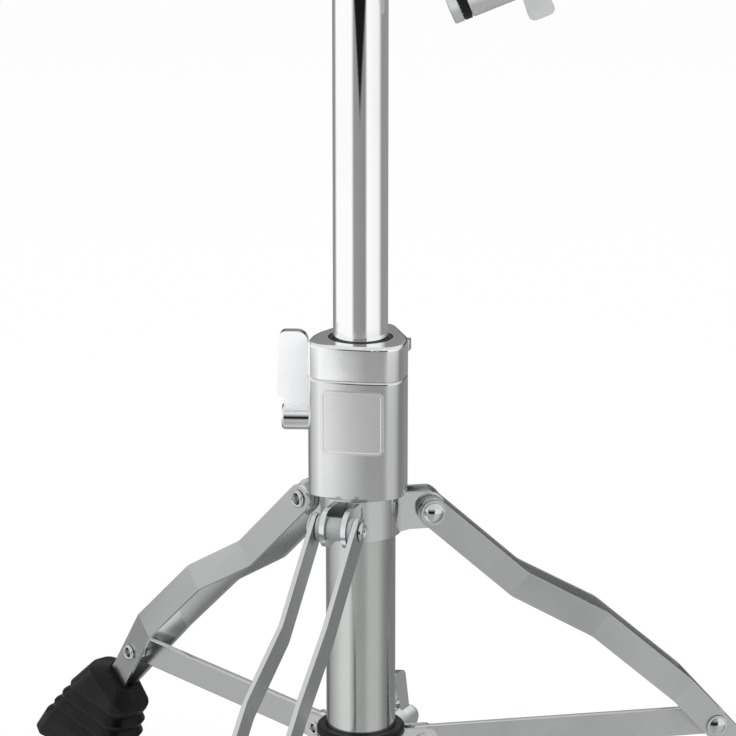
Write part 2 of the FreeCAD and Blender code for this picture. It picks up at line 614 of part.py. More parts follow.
def lever(label, shank):
    """Clamp bolt with one paddle, that sits on z = 0; its paddle points to -X."""
    piece = Piece(label)
    hub = "lever_hub_d / 2"
    inner, outer = ("-lever_reach", "lever_lift"), ("-lever_reach", "lever_lift + lever_tip")
    root = ("-lever_root", "lever_lift + lever_wide")
    paddle = outline(piece.sketch("XZ_Plane"), [
        inner, (f"1 - {hub}", "lever_lift"), (f"1 - {hub}", "lever_hub_long - 1"),
        ("-lever_root", "lever_hub_long - 1"), root, outer])
    piece.pad(paddle, "lever_thick", symmetric=True)
    piece.dress("Fillet", "lever_round", edge_along(ACROSS, [inner], (0, 2)))
    piece.dress("Fillet", "wing_round", edge_along(ACROSS, [root, outer], (0, 2)))
    piece.revolve(outline(piece.sketch("XZ_Plane"), [
        ("0", f"-({shank})"), ("wing_bolt_d / 2", f"-({shank})"), ("wing_bolt_d / 2", "0"), (hub, "0"),
        (hub, "lever_hub_long - 0.8"), (f"{hub} - 0.8", "lever_hub_long"),
        ("lever_socket_d / 2", "lever_hub_long"), ("lever_socket_d / 2", "lever_hub_long - lever_socket"),
        ("0", "lever_hub_long - lever_socket")]))
    return piece


def lay_wing(piece, out, level, facing, turn):
    """Lays a wing's axis level at a distance from the tube, facing out, its wings turned from upright."""
    angle = math.radians(facing)
    spot = V(value(out) * math.cos(angle), value(out) * math.sin(angle), value(level))
    flat = Rotation(UP, facing) * Rotation(ACROSS, 90)
    piece.body.Placement = Placement(spot, flat * Rotation(UP, value(turn)))
    return keep(piece)


lay_wing(lever("height_wing_bolt", "collar_width / 2 + boss_proud - lower_r"),
         "collar_width / 2 + boss_proud + face_gap", "height_bolt_level",
         value("collar_turn + height_bolt_swing") + 180, "height_wing_turn")


def leg_collar():
    """Ring on the lower tube with three forks, each two plates with a round nose."""
    piece = Piece("leg_collar")
    ring = circle(circle(piece.sketch("XY_Plane", "-leg_ring_down"), "lower_r + seat_gap + leg_ring_wall"),
                  "lower_r + seat_gap")
    piece.pad(ring, "leg_ring_up + leg_ring_down")
    root, bed = "lower_r + leg_ring_wall / 2", "lower_r + leg_ring_wall + seat_gap"
    block = outline(piece.sketch("XZ_Plane"), [
        (root, "-leg_ring_down"), (f"{root} + lug_knee", "-lug_up"), ("pivot_radius", "-lug_up"),
        ("pivot_radius", "lug_up"), (root, "lug_up")], {2: "lug_round"})
    lug = piece.pad(block, "2 * lug_half", symmetric=True)
    nose, low, high = "pivot_radius + lug_round + 1", "-leg_ring_down - 1", "leg_ring_up + 1"
    slot = outline(piece.sketch("XZ_Plane"), [(bed, low), (nose, low), (nose, high), (bed, high)])
    gap = piece.pocket(slot, "2 * (lug_half - lug_plate)", symmetric=True)
    hole = piece.pocket(circle(piece.sketch("XZ_Plane"), "pivot_pin_d / 2 + seat_gap", "pivot_radius", "0"),
                        "3 * lug_half", symmetric=True)
    piece.around([lug, gap, hole])
    return keep(piece.stand("pivot_level", str(RING_TURN)))


def rivet_head(at, seat, pin, head, tall):
    """Half section of a flanged dome on a rivet's lower side, from the axis to the shank, and its radius."""
    wide, lift = f"(0.39 * {head})", f"({tall} - rivet_rim)"
    points = [(at, f"-({seat} + {tall})"), (f"{at} + {wide}", f"-({seat} + rivet_rim)"),
              (f"{at} + {head} / 2", f"-({seat} + rivet_rim)"), (f"{at} + {head} / 2", f"-({seat})"),
              (f"{at} + {pin} / 2", f"-({seat})")]
    return points, f"({wide} ^ 2 + {lift} ^ 2) / (2 * {lift})"


def rivet_tail(at, seat, pin, tail, tall):
    """Half section of a hollow rolled end on a rivet's upper side, from the shank to the axis."""
    return [(f"{at} + {pin} / 2", seat), (f"{at} + {tail} / 2", seat),
            (f"{at} + 0.46 * {tail}", f"{seat} + 0.7 * {tall}"),
            (f"{at} + 0.38 * {tail}", f"{seat} + {tall}"), (f"{at} + 0.3 * {tail}", f"{seat} + 0.7 * {tall}"),
            (f"{at} + 0.36 * {pin}", f"{seat} - {tall}"), (f"{at} + 0.36 * {pin}", f"{seat} - 2 * {tall}"),
            (at, f"{seat} - 2 * {tall}")]


def rivets(label, level, at, half, kind):
    """Three rivets across the legs; half is the middle to their seats, kind the name of their sizes."""
    piece = Piece(label)
    pin = f"{kind}_pin_d"
    head, dome = rivet_head(at, half, pin, f"{kind}_head_d", f"{kind}_head")
    tail = rivet_tail(at, half, pin, f"{kind}_tail_d", f"{kind}_tail")
    shape = outline(piece.sketch("XY_Plane"), head + tail, {0: dome}, axis_at=at)
    piece.around([piece.revolve(shape, "Axis0")])
    return keep(piece.stand(level, str(RING_TURN)))


leg_collar()
rivets("leg_pivot_rivets", "pivot_level", "pivot_radius", "(strip_top_out + face_gap)", "pivot")


def leg_bushes():
    """Spacer bushes between the fork plates, and a washer on each side between plate and strip."""
    piece = Piece("leg_pivot_bushes")
    at, hole = "pivot_radius", "pivot_pin_d / 2 + seat_gap"
    rows = (("pivot_bush_d", "seat_gap + lug_plate - lug_half", "lug_half - lug_plate - seat_gap"),
            ("pivot_washer_d", "lug_half + seat_gap", "strip_top_out - strip_thick - face_gap"),
            ("pivot_washer_d", "strip_thick + face_gap - strip_top_out", "-lug_half - seat_gap"))
    rings = []
    for across, low, high in rows:
        edge = f"{at} + {across} / 2"
        shape = outline(piece.sketch("XY_Plane"), [
            (f"{at} + {hole}", low), (edge, low), (edge, high), (f"{at} + {hole}", high)], axis_at=at)
        rings.append(piece.revolve(shape, "Axis0"))
    piece.around(rings)
    return keep(piece.stand("pivot_level", str(RING_TURN)))


leg_bushes()


def mitre(x, z, slope_a, slope_b, sign):
    """Edge point of a strip at a bend between two slopes; sign is + for the upper edge."""
    lean = f"(({slope_a}) + ({slope_b})) / 2"
    reach = f"half_strip / cos((({slope_a}) - ({slope_b})) / 2)"
    return (f"{x} {sign} sin({lean}) * {reach}", f"{z} {sign} cos({lean}) * {reach}")


def leg_strip(label, side, turn):
    """One bent strip of a leg: its side outline, kept where its folded path passes.

    side is + or -, the side of the leg's middle plane that the strip lies on.
    """
    face = Piece(f"{label}_side")
    end_x, end_z = "bend_three_x + foot_run * cos(slope_four)", "bend_three_z - foot_run * sin(slope_four)"
    top_x, top_z = "-half_strip * cos(slope_one)", "half_strip * sin(slope_one)"
    slopes = ["slope_one", "slope_two", "slope_three", "slope_four"]
    bends = [("bend_one_x", "bend_one_z"), ("bend_two_x", "bend_two_z"), ("bend_three_x", "bend_three_z")]
    places = [(top_x, top_z, slopes[0], slopes[0])]
    places += [(x, z, slopes[k], slopes[k + 1]) for k, (x, z) in enumerate(bends)]
    places += [(end_x, end_z, slopes[3], slopes[3])]
    upper = [mitre(*place, "+") for place in places]
    lower = [mitre(*place, "-") for place in places]
    shape = outline(face.sketch("XZ_Plane"), lower + upper[::-1])
    circle(shape, "pivot_pin_d / 2 + pin_gap")
    circle(shape, "foot_pin_d / 2 + seat_gap", "rivet_x", "rivet_z")
    face.pad(shape, "4 * strip_low_out", symmetric=True)
    face.dress("Fillet", "0.98 * half_strip", edge_along(ACROSS, [upper[0], lower[0]], (0, 2)))
    face.dress("Fillet", "strip_bend", edge_along(ACROSS, upper[1:4] + lower[1:4], (0, 2)))

    path = Piece(f"{label}_path")
    along = [f"{x} * cos(slope_three) - {z} * sin(slope_three)" for x, z in bends]
    closed = f"{along[2]} + close_run * cos(slope_four - slope_three)"
    outs = [("-2 * strip_width", "strip_top_out"), (along[0], "strip_top_out"), (along[1], "strip_low_out"),
            (along[2], "strip_low_out"), (closed, "strip_end_out"),
            (f"{closed} + 2 * strip_in_foot", "strip_end_out")]
    outer = [(s, f"{side}({y})") for s, y in outs]
    inner = [(s, f"{side}({y} - strip_thick)") for s, y in outs]
    folded = path.sketch("XY_Plane", turn="slope_three")
    path.pad(outline(folded, inner + outer[::-1]), "2 * (strip_one + strip_two + strip_three + foot_run)",
             symmetric=True)

    strip = doc.addObject("Part::Common", label)
    strip.Base, strip.Tool = face.body, path.body
    strip.Label = label
    angle = math.radians(turn)
    reach = value("pivot_radius")
    strip.Placement = Placement(V(reach * math.cos(angle), reach * math.sin(angle), value("pivot_level")),
                                Rotation(UP, turn))
    pieces.append((label, strip))


def foot_ring(piece, out, down, long, wide, slope):
    """A rounded oblong of a foot, its middle out and down from the mouth's, square to an axis of a slope."""
    ring = piece.sketch("XY_Plane", turn=f"90 + {slope}")
    ring.setExpression("AttachmentOffset.Base.x", bound(out))
    ring.setExpression("AttachmentOffset.Base.z", bound(f"-({down})"))
    end, side = f"({long}) / 2", f"({wide}) / 2"
    corner = f"({side} * foot_corner)"
    near_end, near_side = f"({end} - {corner})", f"({side} - {corner})"
    points = [(f"-{near_end}", f"-{side}"), (near_end, f"-{side}"), (end, f"-{near_side}"), (end, near_side),
              (near_end, side), (f"-{near_end}", side), (f"-{end}", near_side), (f"-{end}", f"-{near_side}")]
    return outline(ring, points, {k: corner for k in (1, 3, 5, 7)})


def leg_foot(label, turn):
    """Ribbed rubber foot on the strips' ends, lofted from its mouth through its ribs to a level sole."""
    piece = Piece(label)
    run = "(rivet_run + mouth_run)"
    mouth_out = f"pivot_radius + bend_three_x + {run} * cos(slope_four)"
    mouth_up = f"pivot_level + bend_three_z - {run} * sin(slope_four)"
    rows = [("0", "0", "foot_mouth_long", "foot_mouth_wide", "foot_slope"),
            ("foot_shoulder_out", "foot_shoulder_down", "foot_shoulder_long", "foot_shoulder_wide",
             "foot_shoulder_slope"),
            ("foot_band_out", "foot_band_down", "foot_band_long", "foot_band_wide", "foot_rib_slope")]
    for k in range(FOOT_RIBS):
        long = f"foot_band_long + {k + 1} * foot_rib_grow"
        wide = f"foot_band_wide + {k + 1} * foot_rib_widen"
        for step, deep, side in ((k + 0.5, "2 * foot_rib_deep", "2 * foot_rib_side"), (k + 1, "0", "0")):
            rows.append((f"foot_band_out + {step} * foot_rib_out", f"foot_band_down + {step} * foot_rib_down",
                         f"{long} - {deep}", f"{wide} - {side}", "foot_rib_slope"))
    rows.append(("foot_sole_out", f"{mouth_up} - foot_sole_tall", "foot_sole_long", "foot_sole_wide", "90"))
    rows.append(("foot_sole_out", mouth_up, "foot_sole_long - 2 * foot_sole_edge",
                 "foot_sole_wide - 2 * foot_sole_edge", "90"))
    rings = [foot_ring(piece, *row) for row in rows]
    skin = piece.feature("AdditiveLoft", rings[0])
    skin.Sections = [(ring, [""]) for ring in rings[1:]]
    skin.Ruled = True
    long, wide = "half_strip + foot_wall", "strip_end_out + foot_wall"
    hole = outline(piece.sketch("XY_Plane", turn="90 + slope_four"), [
        (f"-({long})", f"-({wide})"), (long, f"-({wide})"), (long, wide), (f"-({long})", wide)])
    piece.pocket(hole, "2 * (strip_in_foot + 1)", symmetric=True)
    angle = math.radians(turn)
    reach = value(mouth_out)
    piece.body.Placement = Placement(V(reach * math.cos(angle), reach * math.sin(angle), value(mouth_up)),
                                     Rotation(UP, turn))
    return keep(piece)


def foot_rivet(label, turn):
    """Rivet stubs of a foot, a domed and a rolled one, that end clear of the brace between them."""
    piece = Piece(label)
    at = "pivot_radius + rivet_x"
    face = "(rivet_out + foot_head_d / 2 * close_rate + seat_gap)"
    start = "link_thick / 2 + face_gap"
    collar_end = "rivet_out - strip_thick - foot_collar_d / 2 * close_rate - seat_gap"
    collar = [(at, start), (f"{at} + foot_collar_d / 2", start), (f"{at} + foot_collar_d / 2", collar_end),
              (f"{at} + foot_pin_d / 2", collar_end)]
    rolled = collar + rivet_tail(at, face, "foot_pin_d", "foot_tail_d", "foot_tail")
    head, dome = rivet_head(at, face, "foot_pin_d", "foot_head_d", "foot_head")
    domed = head + [(x, f"-({y})") for x, y in collar[::-1]]
    piece.revolve(outline(piece.sketch("XY_Plane"), rolled, axis_at=at), "Axis0")
    piece.revolve(outline(piece.sketch("XY_Plane"), domed, {0: dome}, axis_at=at), "Axis0")
    return keep(piece.stand("pivot_level + rivet_z", str(turn)))


def brace(label, turn):
    """Flat link from the lower collar to a foot."""
    piece = Piece(label)
    near_x, far_x = "link_inner - link_width / 2", "link_inner + link_long + link_width / 2"
    ends = [(near_x, "-link_width / 2"), (far_x, "-link_width / 2"), (far_x, "link_width / 2"),
            (near_x, "link_width / 2")]
    shape = outline(piece.sketch("XZ_Plane"), ends)
    circle(shape, "link_pin_d / 2 + pin_gap", "link_inner")
    circle(shape, "foot_pin_d / 2 + pin_gap", "link_inner + link_long")
    piece.pad(shape, "link_thick", symmetric=True)
    piece.dress("Fillet", "0.49 * link_width", edge_along(ACROSS, ends, (0, 2)))
    return keep(piece.stand("link_level", str(turn)))


for name, turn in LEG_TURNS.items():
    leg_strip(f"{name}_leg_left_strip", "", turn)
    leg_strip(f"{name}_leg_right_strip", "-", turn)
    leg_foot(f"{name}_foot", turn)
    foot_rivet(f"{name}_foot_rivet", turn)
    brace(f"{name}_brace", turn)


def lower_collar():
    """Sliding collar with three lugs for the braces and a boss for its wing bolt."""
    piece = Piece("lower_collar")
    piece.pad(circle(piece.sketch("XY_Plane", "-low_ring_down"), "low_ring_r"), "low_ring_up + low_ring_down")
    facing = f"low_bolt_turn - {RING_TURN}"
    boss = circle(piece.sketch("YZ_Plane", turn=facing), "boss_radius", "0", "-2")
    piece.pad(boss, "low_boss_reach")
    nose = "link_inner + low_lug_nose"
    block = outline(piece.sketch("XZ_Plane"), [
        ("sleeve_r + low_ring_wall / 2", "-low_lug_nose"), (nose, "-low_lug_nose"),
        (nose, "low_lug_nose"), ("sleeve_r + low_ring_wall / 2", "low_lug_nose")])
    lug = piece.pad(block, "2 * low_lug_half", symmetric=True)
    slot = outline(piece.sketch("XZ_Plane"), [
        ("low_ring_r + 0.2", "-2 * low_lug_nose"), (f"{nose} + 1", "-2 * low_lug_nose"),
        (f"{nose} + 1", "2 * low_lug_nose"), ("low_ring_r + 0.2", "2 * low_lug_nose")])
    gap = piece.pocket(slot, "link_thick + 2 * face_gap", symmetric=True)
    hole = piece.pocket(circle(piece.sketch("XZ_Plane"), "link_pin_d / 2 + seat_gap", "link_inner"),
                        "3 * low_lug_half", symmetric=True)
    piece.around([lug, gap, hole])
    angles = [math.radians(360 * k / LEG_COUNT) for k in range(LEG_COUNT)]

    def nose_edge(edge):
        if edge.Curve.TypeId != "Part::GeomLine" or not near(edge.Length, value("low_lug_plate")):
            return False
        middle = edge.CenterOfMass
        return any(near(middle.x * math.cos(a) + middle.y * math.sin(a), value(nose)) for a in angles)
    piece.dress("Fillet", "0.8 * low_lug_nose", nose_edge)
    bore = circle(piece.sketch("XY_Plane", "-low_ring_down"), "sleeve_r + seat_gap")
    piece.pocket(bore, "low_ring_up + low_ring_down", backwards=True)
    hole = circle(piece.sketch("YZ_Plane", turn=facing), "wing_bolt_d / 2 + pin_gap", "0", "-2")
    piece.pocket(hole, "2 * low_boss_reach", backwards=True)
    return keep(piece.stand("link_level", str(RING_TURN)))


lower_collar()
turned("lower_sleeve", [
    ("lower_r + slide_gap", "-low_ring_down"), ("sleeve_r", "-low_ring_down"),
    ("sleeve_r", "low_ring_up + seat_gap"), ("sleeve_flange_d / 2", "low_ring_up + seat_gap"),
    ("sleeve_flange_d / 2", "low_ring_up + sleeve_flange - 1"),
    ("sleeve_flange_d / 2 - 1", "low_ring_up + sleeve_flange"),
    ("lower_r + slide_gap", "low_ring_up + sleeve_flange")], "link_level")
rivets("brace_rivets", "link_level", "link_inner", "(low_lug_half + seat_gap)", "link")
lay_wing(wing("lower_wing_bolt", shank="low_boss_reach - sleeve_r", reach="low_wing_reach"),
         "low_boss_reach + face_gap", "link_level - 2", value("low_bolt_turn"), "low_wing_turn")

# Tilter: its own frame starts on the upper tube's top, with +X towards the friction disc
DISC_LEAN = "90 - tilt_slope"
DOWN_X, DOWN_Z = "sin(tilt_slope)", "cos(tilt_slope)"


def tilt_sketch(piece, distance):
    """A sketch square to the tilter's axis, a distance along it from the disc's back."""
    new = piece.sketch("XY_Plane", turn=DISC_LEAN)
    new.setExpression("AttachmentOffset.Base.x", bound(f"tilt_out + ({distance}) * cos(tilt_slope)"))
    new.setExpression("AttachmentOffset.Base.z", bound(f"-tilt_drop + ({distance}) * sin(tilt_slope)"))
    return new


def tilter_base():
    """Socket on the upper tube with an arm to the friction disc."""
    piece = Piece("tilter_base")
    reach = "tilt_disc_d / 2"
    arm = outline(piece.sketch("XZ_Plane"), [
        ("upper_r + 1", "2 - cap_deep"),
        (f"tilt_out + 0.4 * {reach} * {DOWN_X}", f"-tilt_drop - 0.4 * {reach} * {DOWN_Z}"),
        ("tilt_out + 2 * cos(tilt_slope)", "2 * sin(tilt_slope) - tilt_drop"),
        (f"tilt_out - 0.75 * {reach} * {DOWN_X}", f"0.75 * {reach} * {DOWN_Z} - tilt_drop"),
        ("upper_r + 1", "cap_roof - 1")])
    piece.pad(arm, "cap_arm", symmetric=True)
    piece.pad(circle(tilt_sketch(piece, "0"), reach), "tilt_disc")
    piece.dress("Chamfer", "0.5", edge_round(reach))
    piece.revolve(outline(piece.sketch("XZ_Plane"), [
        ("0", "0"), ("upper_r + seat_gap", "0"), ("upper_r + seat_gap", "-cap_deep"),
        ("cap_d / 2", "-cap_deep"), ("cap_d / 2", "cap_roof - 2"), ("cap_d / 2 - 2", "cap_roof"),
        ("0", "cap_roof")]))
    socket = circle(piece.sketch("XY_Plane", "-cap_deep"), "upper_r + seat_gap")
    piece.pocket(socket, "cap_deep", backwards=True)
    piece.pocket(circle(tilt_sketch(piece, "-tilt_bolt_root"), "tilt_bolt_d / 2 + seat_gap"),
                 "tilt_bolt_root + tilt_disc", backwards=True)
    return keep(piece.stand("upper_top", "tilt_turn"))


def tilt_piece(label, distance, build):
    """A piece on the tilter's axis, built along its own +Z and laid on the axis."""
    piece = build(label)
    turn = Rotation(UP, value("tilt_turn"))
    spot = turn.multVec(V(value(f"tilt_out + ({distance}) * cos(tilt_slope)"), 0, 0))
    spot.z = value(f"upper_top - tilt_drop + ({distance}) * sin(tilt_slope)")
    piece.body.Placement = Placement(spot, turn * Rotation(ACROSS, value(DISC_LEAN)))
    return keep(piece)


def tilt_washer(label):
    piece = Piece(label)
    rings = circle(circle(piece.sketch("XY_Plane"), "tilt_washer_d / 2"), "tilt_bolt_d / 2 + seat_gap")
    piece.pad(rings, "tilt_washer")
    return piece


def tilt_nut(label):
    return wing(label, bore="tilt_bolt_d / 2 + pin_gap", reach="tilt_wing_reach", wide="tilt_wing_wide",
                lift="tilt_wing_lift", long="tilt_wing_long")


def tilt_bolt(label):
    piece = Piece(label)
    piece.pad(circle(piece.sketch("XY_Plane"), "tilt_bolt_d / 2"), "tilt_bolt_root + tilt_bolt_end")
    piece.dress("Chamfer", "0.8", edge_level("tilt_bolt_root + tilt_bolt_end"))
    return piece


def basket_bracket():
    """Hub on the tilter's axis with an arm that carries the basket's shaft over the tube."""
    piece = Piece("basket_bracket")
    boss = "bracket_boss_d / 2"
    top = "bracket_base + bracket_boss"
    over = "tilt_hub_d / 2 + 2"
    near_end, far_end = "(tilt_hub_at + 2)", "(tilt_hub_at + tilt_hub - 2)"

    def beside(along, out):
        """A point of the arm's outline, along the tilter's axis and out from it."""
        return (f"tilt_out + {along} * cos(tilt_slope) - ({out}) * sin(tilt_slope)",
                f"{along} * sin(tilt_slope) - tilt_drop + ({out}) * cos(tilt_slope)")
    arm = outline(piece.sketch("XZ_Plane"), [
        beside(near_end, "0"), beside(far_end, "0"), beside(far_end, over), (f"{boss} + 16", f"{top} - 2"),
        ("0", f"{top} - 2"), ("0", "bracket_base + 2"), (f"{boss} + 4", "bracket_base + 2"),
        beside(near_end, over)])
    piece.pad(arm, "bracket_thick", symmetric=True)
    piece.pad(circle(tilt_sketch(piece, "tilt_hub_at"), "tilt_hub_d / 2"), "tilt_hub")
    piece.dress("Chamfer", "0.5", edge_round("tilt_hub_d / 2"))
    piece.pad(circle(piece.sketch("XY_Plane", "bracket_base"), boss), "bracket_boss")
    bolt_hole = circle(tilt_sketch(piece, "tilt_hub_at - 1"), "tilt_bolt_d / 2 + pin_gap")
    piece.pocket(bolt_hole, "tilt_hub + 2", backwards=True)
    shaft_hole = circle(piece.sketch("XY_Plane", "bracket_base"), "shaft_d / 2 + seat_gap")
    piece.pocket(shaft_hole, "bracket_boss", backwards=True)
    return keep(piece.stand("upper_top", "tilt_turn"))


tilter_base()
tilt_piece("tilter_washer", "tilt_washer_at + seat_gap", tilt_washer)
tilt_piece("tilter_bolt", "-tilt_bolt_root", tilt_bolt)
nut = tilt_piece("tilter_wing_nut", "tilt_wing_at", tilt_nut)
nut.body.Placement = nut.body.Placement * Placement(V(0, 0, 0), Rotation(UP, value("tilt_wing_turn")))
basket_bracket()

# Basket: heights are counted from the upper tube's top
turned("basket_shaft", [
    ("0", "bracket_base"), ("shaft_d / 2", "bracket_base"), ("shaft_d / 2", "shaft_top - 1"),
    ("shaft_d / 2 - 1", "shaft_top"), ("0", "shaft_top")], "upper_top")
turned("basket_nut", [
    ("shaft_d / 2 + slide_gap", "nut_top - nut_tall - nut_sleeve"),
    ("nut_sleeve_d / 2", "nut_top - nut_tall - nut_sleeve"),
    ("nut_sleeve_d / 2", "nut_top - nut_tall"), ("nut_d / 2 - 1.5", "nut_top - nut_tall"),
    ("nut_d / 2", "nut_top - nut_tall + 1.5"), ("nut_d / 2", "nut_top - 1"), ("nut_d / 2 - 1", "nut_top"),
    ("nut_d / 2 - nut_rim", "nut_top"), ("nut_d / 2 - nut_rim", "nut_top - nut_dish"),
    ("shaft_d / 2 + slide_gap", "nut_top - nut_dish")], "upper_top")


def basket_hub():
    """Hub on the shaft's top with three pairs of lug plates for the arms."""
    piece = Piece("basket_hub")
    low, high = "nut_top + 5 + face_gap", "arm_top + 3"
    piece.pad(circle(piece.sketch("XY_Plane", low), "hub_core_d / 2"), f"{high} - ({low})")
    reach = "arm_pivot + 5.5"
    block = outline(piece.sketch("XZ_Plane"), [("0", low), (reach, low), (reach, high), ("0", high)])
    lug = piece.pad(block, "2 * hub_half", symmetric=True)
    slot = outline(piece.sketch("XZ_Plane"), [
        ("shaft_d / 2 + 1.5", f"{low} - 1"), (f"{reach} + 1", f"{low} - 1"), (f"{reach} + 1", f"{high} + 1"),
        ("shaft_d / 2 + 1.5", f"{high} + 1")])
    gap = piece.pocket(slot, "arm_thick + 2 * face_gap", symmetric=True)
    bore = circle(piece.sketch("XZ_Plane"), "arm_pin_d / 2 + seat_gap", "arm_pivot", "nut_top + arm_pivot_up")
    hole = piece.pocket(bore, "4 * hub_half", symmetric=True)
    piece.around([lug, gap, hole])
    shaft_hole = circle(piece.sketch("XY_Plane", low), "shaft_d / 2 + seat_gap")
    piece.pocket(shaft_hole, f"{high} - ({low})", backwards=True)
    return keep(piece.stand("upper_top", str(RING_TURN)))


ARM_UNDER = [("arm_pivot - 6", "arm_low"), ("arm_straight", "arm_low"),
             ("arm_reach - claw_foot", "arm_low + arm_rise * 0.8"), ("arm_reach - 4", "arm_low + arm_rise")]
CLAW = [("arm_reach", "arm_low + arm_rise + 6"), ("arm_reach", "arm_low + arm_rise + claw_tall"),
        ("arm_reach - 0.7 * claw_thick", "arm_low + arm_rise + claw_tall"),
        ("arm_reach - claw_thick", "arm_low + arm_rise + arm_tall + 4")]
ARM_OVER = [("arm_reach - claw_foot", "arm_top + arm_rise * 0.8 - 1"), ("arm_straight", "arm_top"),
            ("arm_pivot - 6", "arm_top")]


def basket_arm(label, turn):
    """Arm from the hub's pivot, rising to an upright claw."""
    piece = Piece(label)
    corners = ARM_UNDER + CLAW + ARM_OVER
    shape = outline(piece.sketch("XZ_Plane"), corners)
    circle(shape, "arm_pin_d / 2 + pin_gap", "arm_pivot", "nut_top + arm_pivot_up")
    piece.pad(shape, "arm_thick", symmetric=True)
    piece.dress("Fillet", "arm_bend", edge_along(ACROSS, [CLAW[3], ARM_OVER[0]], (0, 2)))
    ends = [ARM_UNDER[0], ARM_OVER[2]] + CLAW[:3]
    piece.dress("Fillet", "2.5", edge_along(ACROSS, ends, (0, 2)))
    return keep(piece.stand("upper_top", str(turn)))


def arm_grip(label):
    """Rubber sleeve over an arm's claw."""
    piece = Piece(label)
    inside, outside = "arm_reach - claw_foot", "arm_reach + grip_wall"
    claw, top = "arm_reach - claw_thick", "arm_low + arm_rise + claw_tall + grip_wall"
    corners = [(inside, "arm_low + arm_rise * 0.8 - grip_wall"),
               ("arm_reach - 3", "arm_low + arm_rise - grip_wall"),
               (outside, "arm_low + arm_rise + 4"), (outside, top), (f"{claw} - grip_wall + 1", top),
               (f"{claw} - grip_wall", "arm_low + arm_rise + arm_tall + 7"),
               (f"{claw} - 7", "arm_top + arm_rise * 0.8 + grip_wall - 0.5"),
               (inside, "arm_top + arm_rise * 0.8 + grip_wall - 1")]
    piece.pad(outline(piece.sketch("XZ_Plane"), corners), "arm_thick + 2 * grip_wall", symmetric=True)
    piece.dress("Fillet", "2.4", edge_along(ACROSS, corners[1:5], (0, 2)))
    return piece


def fit_grip(name, turn):
    """The sleeve with the arm's own shape taken out of it."""
    whole = arm_grip(f"{name}_grip_whole")
    whole.stand("upper_top", str(turn))
    arm = [body for label, body in pieces if label == f"{name}_arm"][0]
    grip = doc.addObject("Part::Cut", f"{name}_grip")
    grip.Base, grip.Tool = whole.body, arm
    grip.Label = f"{name}_grip"
    pieces.append((f"{name}_grip", grip))


basket_hub()
rivets("arm_pins", "upper_top + nut_top + arm_pivot_up", "arm_pivot", "(hub_half + seat_gap)", "arm")
for name, turn in ARM_TURNS.items():
    basket_arm(f"{name}_arm", turn)
    fit_grip(name, turn)

doc.recompute()
faults = [f"{o.Name}: {o.State}" for o in doc.Objects if {"Invalid", "Error"} & set(o.State)]
for label, body in pieces:
    if body.Shape.isNull() or not body.Shape.isValid() or not body.Shape.Solids:
        faults.append(f"{label}: bad shape")
if faults:
    raise RuntimeError("; ".join(faults))

os.makedirs("parts", exist_ok=True)
for label, body in pieces:
    body.Shape.exportStep(f"parts/{label}.step")
    box = body.Shape.BoundBox
    print(f"{label}: {len(body.Shape.Solids)} solid(s), {body.Shape.Volume:.0f} mm3,",
          f"z {box.ZMin:.1f} to {box.ZMax:.1f}")
print(len(pieces), "sub-parts")
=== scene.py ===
"""Looks of a chromed snare drum stand: softened edges, turned and threaded pieces, finishes and a studio.

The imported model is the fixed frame, in metres, with +Z up and the front leg towards -Y.
"""

import json
import logging
import math
from dataclasses import dataclass
from enum import Enum
from typing import Dict, Optional, Sequence, Tuple

import bmesh
import bpy
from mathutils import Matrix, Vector

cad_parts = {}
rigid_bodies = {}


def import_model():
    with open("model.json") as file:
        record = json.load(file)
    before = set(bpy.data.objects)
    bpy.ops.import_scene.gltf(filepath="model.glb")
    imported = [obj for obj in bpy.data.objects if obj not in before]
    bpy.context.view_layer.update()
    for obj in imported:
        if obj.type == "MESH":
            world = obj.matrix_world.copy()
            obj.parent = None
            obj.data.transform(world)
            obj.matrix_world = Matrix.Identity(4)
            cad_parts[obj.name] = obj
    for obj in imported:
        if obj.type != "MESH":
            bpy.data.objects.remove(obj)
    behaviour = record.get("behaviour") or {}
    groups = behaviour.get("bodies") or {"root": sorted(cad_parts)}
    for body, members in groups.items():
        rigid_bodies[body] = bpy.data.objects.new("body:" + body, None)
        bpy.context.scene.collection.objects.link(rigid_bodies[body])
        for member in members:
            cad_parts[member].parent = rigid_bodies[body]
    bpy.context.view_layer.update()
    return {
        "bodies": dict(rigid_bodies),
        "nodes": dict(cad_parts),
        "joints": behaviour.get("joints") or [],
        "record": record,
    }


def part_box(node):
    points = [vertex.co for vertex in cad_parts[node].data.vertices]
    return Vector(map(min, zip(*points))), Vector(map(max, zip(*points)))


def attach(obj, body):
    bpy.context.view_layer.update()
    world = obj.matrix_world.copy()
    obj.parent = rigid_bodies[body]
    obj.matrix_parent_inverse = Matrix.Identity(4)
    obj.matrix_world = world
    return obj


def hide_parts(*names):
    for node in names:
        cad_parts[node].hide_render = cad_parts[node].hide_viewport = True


log = logging.getLogger("snare_stand")

Colour = Tuple[float, float, float]
Point = Tuple[float, float]
Bands = Tuple[Point, ...]
MM = 0.001
UP = Vector((0.0, 0.0, 1.0))
RIVET_ROUND = 0.2


class Leg(Enum):
    """The three legs of the tripod, also the basket's sides, with the way each one points in degrees."""

    FRONT = 270.0
    RIGHT = 30.0
    LEFT = 150.0

    @property
    def label(self) -> str:
        """The leg's name as it stands in the model's nodes."""
        return self.name.lower()

    @property
    def across(self) -> Vector:
        """The level direction square to the leg."""
        turn = math.radians(self.value + 90.0)
        return Vector((math.cos(turn), math.sin(turn), 0.0))


